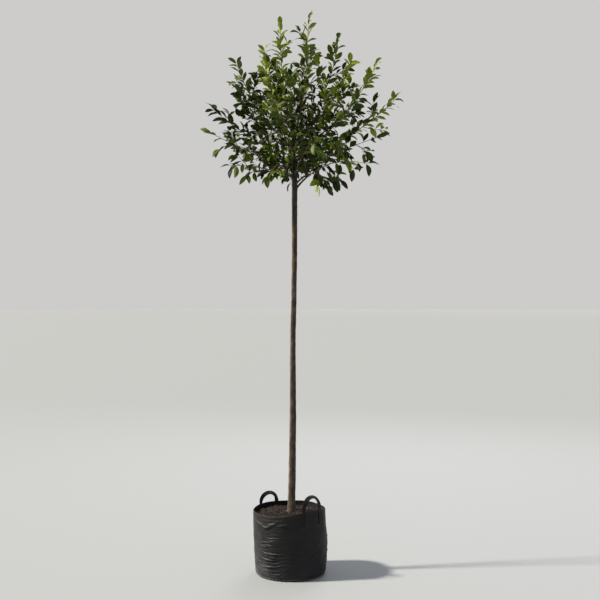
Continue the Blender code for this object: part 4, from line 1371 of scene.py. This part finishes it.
# %% Strap line, as in the source
TAIL_SHARE = 0.24
Handle = namedtuple("Handle", "bearing rise twist")
HANDLES = {
    "handle_back_left": Handle(math.radians(HANDLE_BEARING), 0.054, math.radians(-42)),
    "handle_front_right": Handle(math.radians(HANDLE_BEARING + 180), 0.078, math.radians(54)),
}


def strap_foot(bearing, height):
    """Where a strap's centre line lies against the outside of the bag."""
    radius = wall_radius(height) + (STRAP_THICKNESS / 2 + CLEARANCE * 2) / bag_stretch(bearing, height)
    return bag_place(bearing, height, radius)


def strap_frame(handle, share):
    """Where a strap's centre line is, and which way its width runs: from the loop's outer edge inwards.

    The feet differ a little in height and reach, so each half of the loop takes half of what they miss by.
    """
    outward = Vector((math.cos(handle.bearing), math.sin(handle.bearing), 0.0))
    sideways = Vector((-outward.y, outward.x, 0.0))
    side = -1.0 if share < 0.5 else 1.0
    foot_bearing = handle.bearing + side * math.radians(HANDLE_HALF_ANGLE)
    foot_sideways = Vector((-math.sin(foot_bearing), math.cos(foot_bearing), 0.0))
    along = min(share, 1 - share)
    if along <= TAIL_SHARE:
        height = BAG_HEIGHT - HANDLE_TAIL * (1 - along / TAIL_SHARE)
        return strap_foot(foot_bearing, height), foot_sideways * -side
    turn = math.pi / 2 * (along - TAIL_SHARE) / (0.5 - TAIL_SHARE)
    half_span = BAG_RIM_RADIUS * math.sin(math.radians(HANDLE_HALF_ANGLE))
    foot = strap_foot(foot_bearing, BAG_HEIGHT)
    far_foot = strap_foot(2 * handle.bearing - foot_bearing, BAG_HEIGHT)
    missed = far_foot - foot + sideways * side * half_span * 2
    place = foot + (missed / 2 - sideways * side * half_span) * (1 - math.cos(turn))
    place.z += handle.rise * math.sin(turn) ** 0.9
    in_plane = sideways * math.cos(turn) + Vector((0, 0, side * math.sin(turn)))
    twist = handle.twist * smoothstep(0.0, math.pi / 2, turn)
    width = in_plane * math.cos(twist) - outward * side * math.sin(twist)
    return place, foot_sideways.lerp(width, smoothstep(0.0, 0.35, turn)).normalized() * -side


# %% Webbing material
# Polypropylene yarn is slightly waxy, so each rib of the weave catches a soft light. The ribs run along the
# strap, about 1.9 mm apart, and the weft crosses them every 1.5 mm.
RIBS, WEFT_STEP = 12, 1.5 * MM
webbing, tree = new_material("black_woven_webbing")
parts = add(tree, "SeparateXYZ", {"Vector": add(tree, "UVMap", uv_map="surface")})
rib = maths(tree, "MULTIPLY", parts.outputs["X"], 2 * math.pi * RIBS)
rib_wave = maths(tree, "COSINE", rib)
shift = maths(tree, "SIGN", rib_wave)
weft = maths(tree, "MULTIPLY", parts.outputs["Y"], 2 * math.pi / WEFT_STEP)
stagger = maths(tree, "MULTIPLY_ADD", shift, math.pi / 2, weft)
weft_wave = maths(tree, "SINE", stagger)
weave = maths(tree, "ADD", rib_wave, weft_wave)
height = remap(tree, weave, -2.0, 2.0)
bump = raised(tree, height, 0.8, 0.7 * MM)
# Painted shade: the weave's hollows are painted darker and its ribs paler
colour = ramp(tree, height, [(0.2, "#050506"), (0.9, "#121215")])
finish_material(tree, Base_Color=colour, Roughness=0.55, IOR=1.49, Specular_IOR_Level=0.25, Normal=bump)
# The thread is bonded nylon: smoother than the yarn, so it stands out a little paler
webbing_thread, tree = new_material("bonded_nylon_thread")
strands = add(tree, "TexNoise", {"Scale": 1 / (0.8 * MM), "Detail": 2.0})
colour = ramp(tree, strands, [(0.3, "#121214"), (0.7, "#26272A")])
finish_material(tree, Base_Color=colour, Roughness=0.45, IOR=1.53)

# %% Straps and their stitches
STRAP_STEPS = 220
# A quarter of the webbing's section, from its edge to its middle, in shares of its width and thickness
QUARTER = [(0.5, 0.0), (0.485, 0.42), (0.44, 0.62), (0.30, 0.48), (0.10, 0.50)]
SECTION = [(-x, y) for x, y in QUARTER] + QUARTER[::-1]
SECTION += [(x, -y) for x, y in SECTION[-2:0:-1]]
STITCH_LENGTH, STITCH_RADIUS = 3.2 * MM, 0.45 * MM
STITCH_MARGIN = 3 * MM
# Where the box of stitches starts and ends, up from a tail's lower end
STITCHED = (0.006, HANDLE_TAIL - 0.016)


def strap_axes(handle, share):
    """The strap's centre, its direction along, its width and the way it faces."""
    ahead, _ = strap_frame(handle, min(share + 0.002, 1.0))
    behind, _ = strap_frame(handle, max(share - 0.002, 0.0))
    place, width = strap_frame(handle, share)
    along = (ahead - behind).normalized()
    width = (width - along * width.dot(along)).normalized()
    return place, along, width, width.cross(along).normalized()


def build_strap(name, handle):
    """A strap as a sweep of its section, with UVs across it from 0 to 1 and along it in metres."""
    points, uvs, length, last = [], [], 0.0, None
    for step in range(STRAP_STEPS + 1):
        place, along, width, face = strap_axes(handle, step / STRAP_STEPS)
        length += (place - last).length if last else 0.0
        last = place
        for x, y in SECTION:
            points.append(place + width * (STRAP_WIDTH * x) + face * (STRAP_THICKNESS * y))
            uvs.append((x + 0.5, length))
    heap = Heap()
    heap.add([tuple(point) for point in points], ring_faces(STRAP_STEPS + 1, len(SECTION)), uvs=uvs)
    heap.build(name, [webbing], "webbing", [name.replace("strap", "handle")])
    print(name, "is", round(length, 3), "m long")


def sew_tail(thread, handle, side):
    """A box of stitches with a cross in it, on the outside of a strap's tail."""
    half = STRAP_WIDTH / 2 - STITCH_MARGIN
    a, b, c, d = [np.array((x, y)) for y in STITCHED for x in (-half, half)]
    for start, end in ((a, c), (b, d), (a, b), (c, d), (a, d), (b, c)):
        count = max(int(np.linalg.norm(end - start) / (STITCH_LENGTH * 1.35)), 1)
        for number in range(count):
            ends = [start + (end - start) * (number + part) / count for part in (0.12, 0.5, 0.88)]
            path = []
            for (x, y), rise_out in zip(ends, (-0.15, 0.35, -0.15)):
                share = TAIL_SHARE * y / HANDLE_TAIL
                share = share if side < 0 else 1 - share
                place, _, width, _ = strap_axes(handle, share)
                outward = Vector((place.x, place.y, 0)).normalized()
                stand = STRAP_THICKNESS * 0.52 + rise_out * MM
                path.append(place + width * x + outward * stand)
            radii = [STITCH_RADIUS * 0.7, STITCH_RADIUS, STITCH_RADIUS * 0.7]
            tube(thread, [tuple(point) for point in path], radii, 6)


thread = Heap()
for node_name, handle in HANDLES.items():
    build_strap(node_name.replace("handle", "strap"), handle)
    for side in (-1, 1):
        sew_tail(thread, handle, side)
thread.build("strap_stitches", [webbing_thread], "webbing")
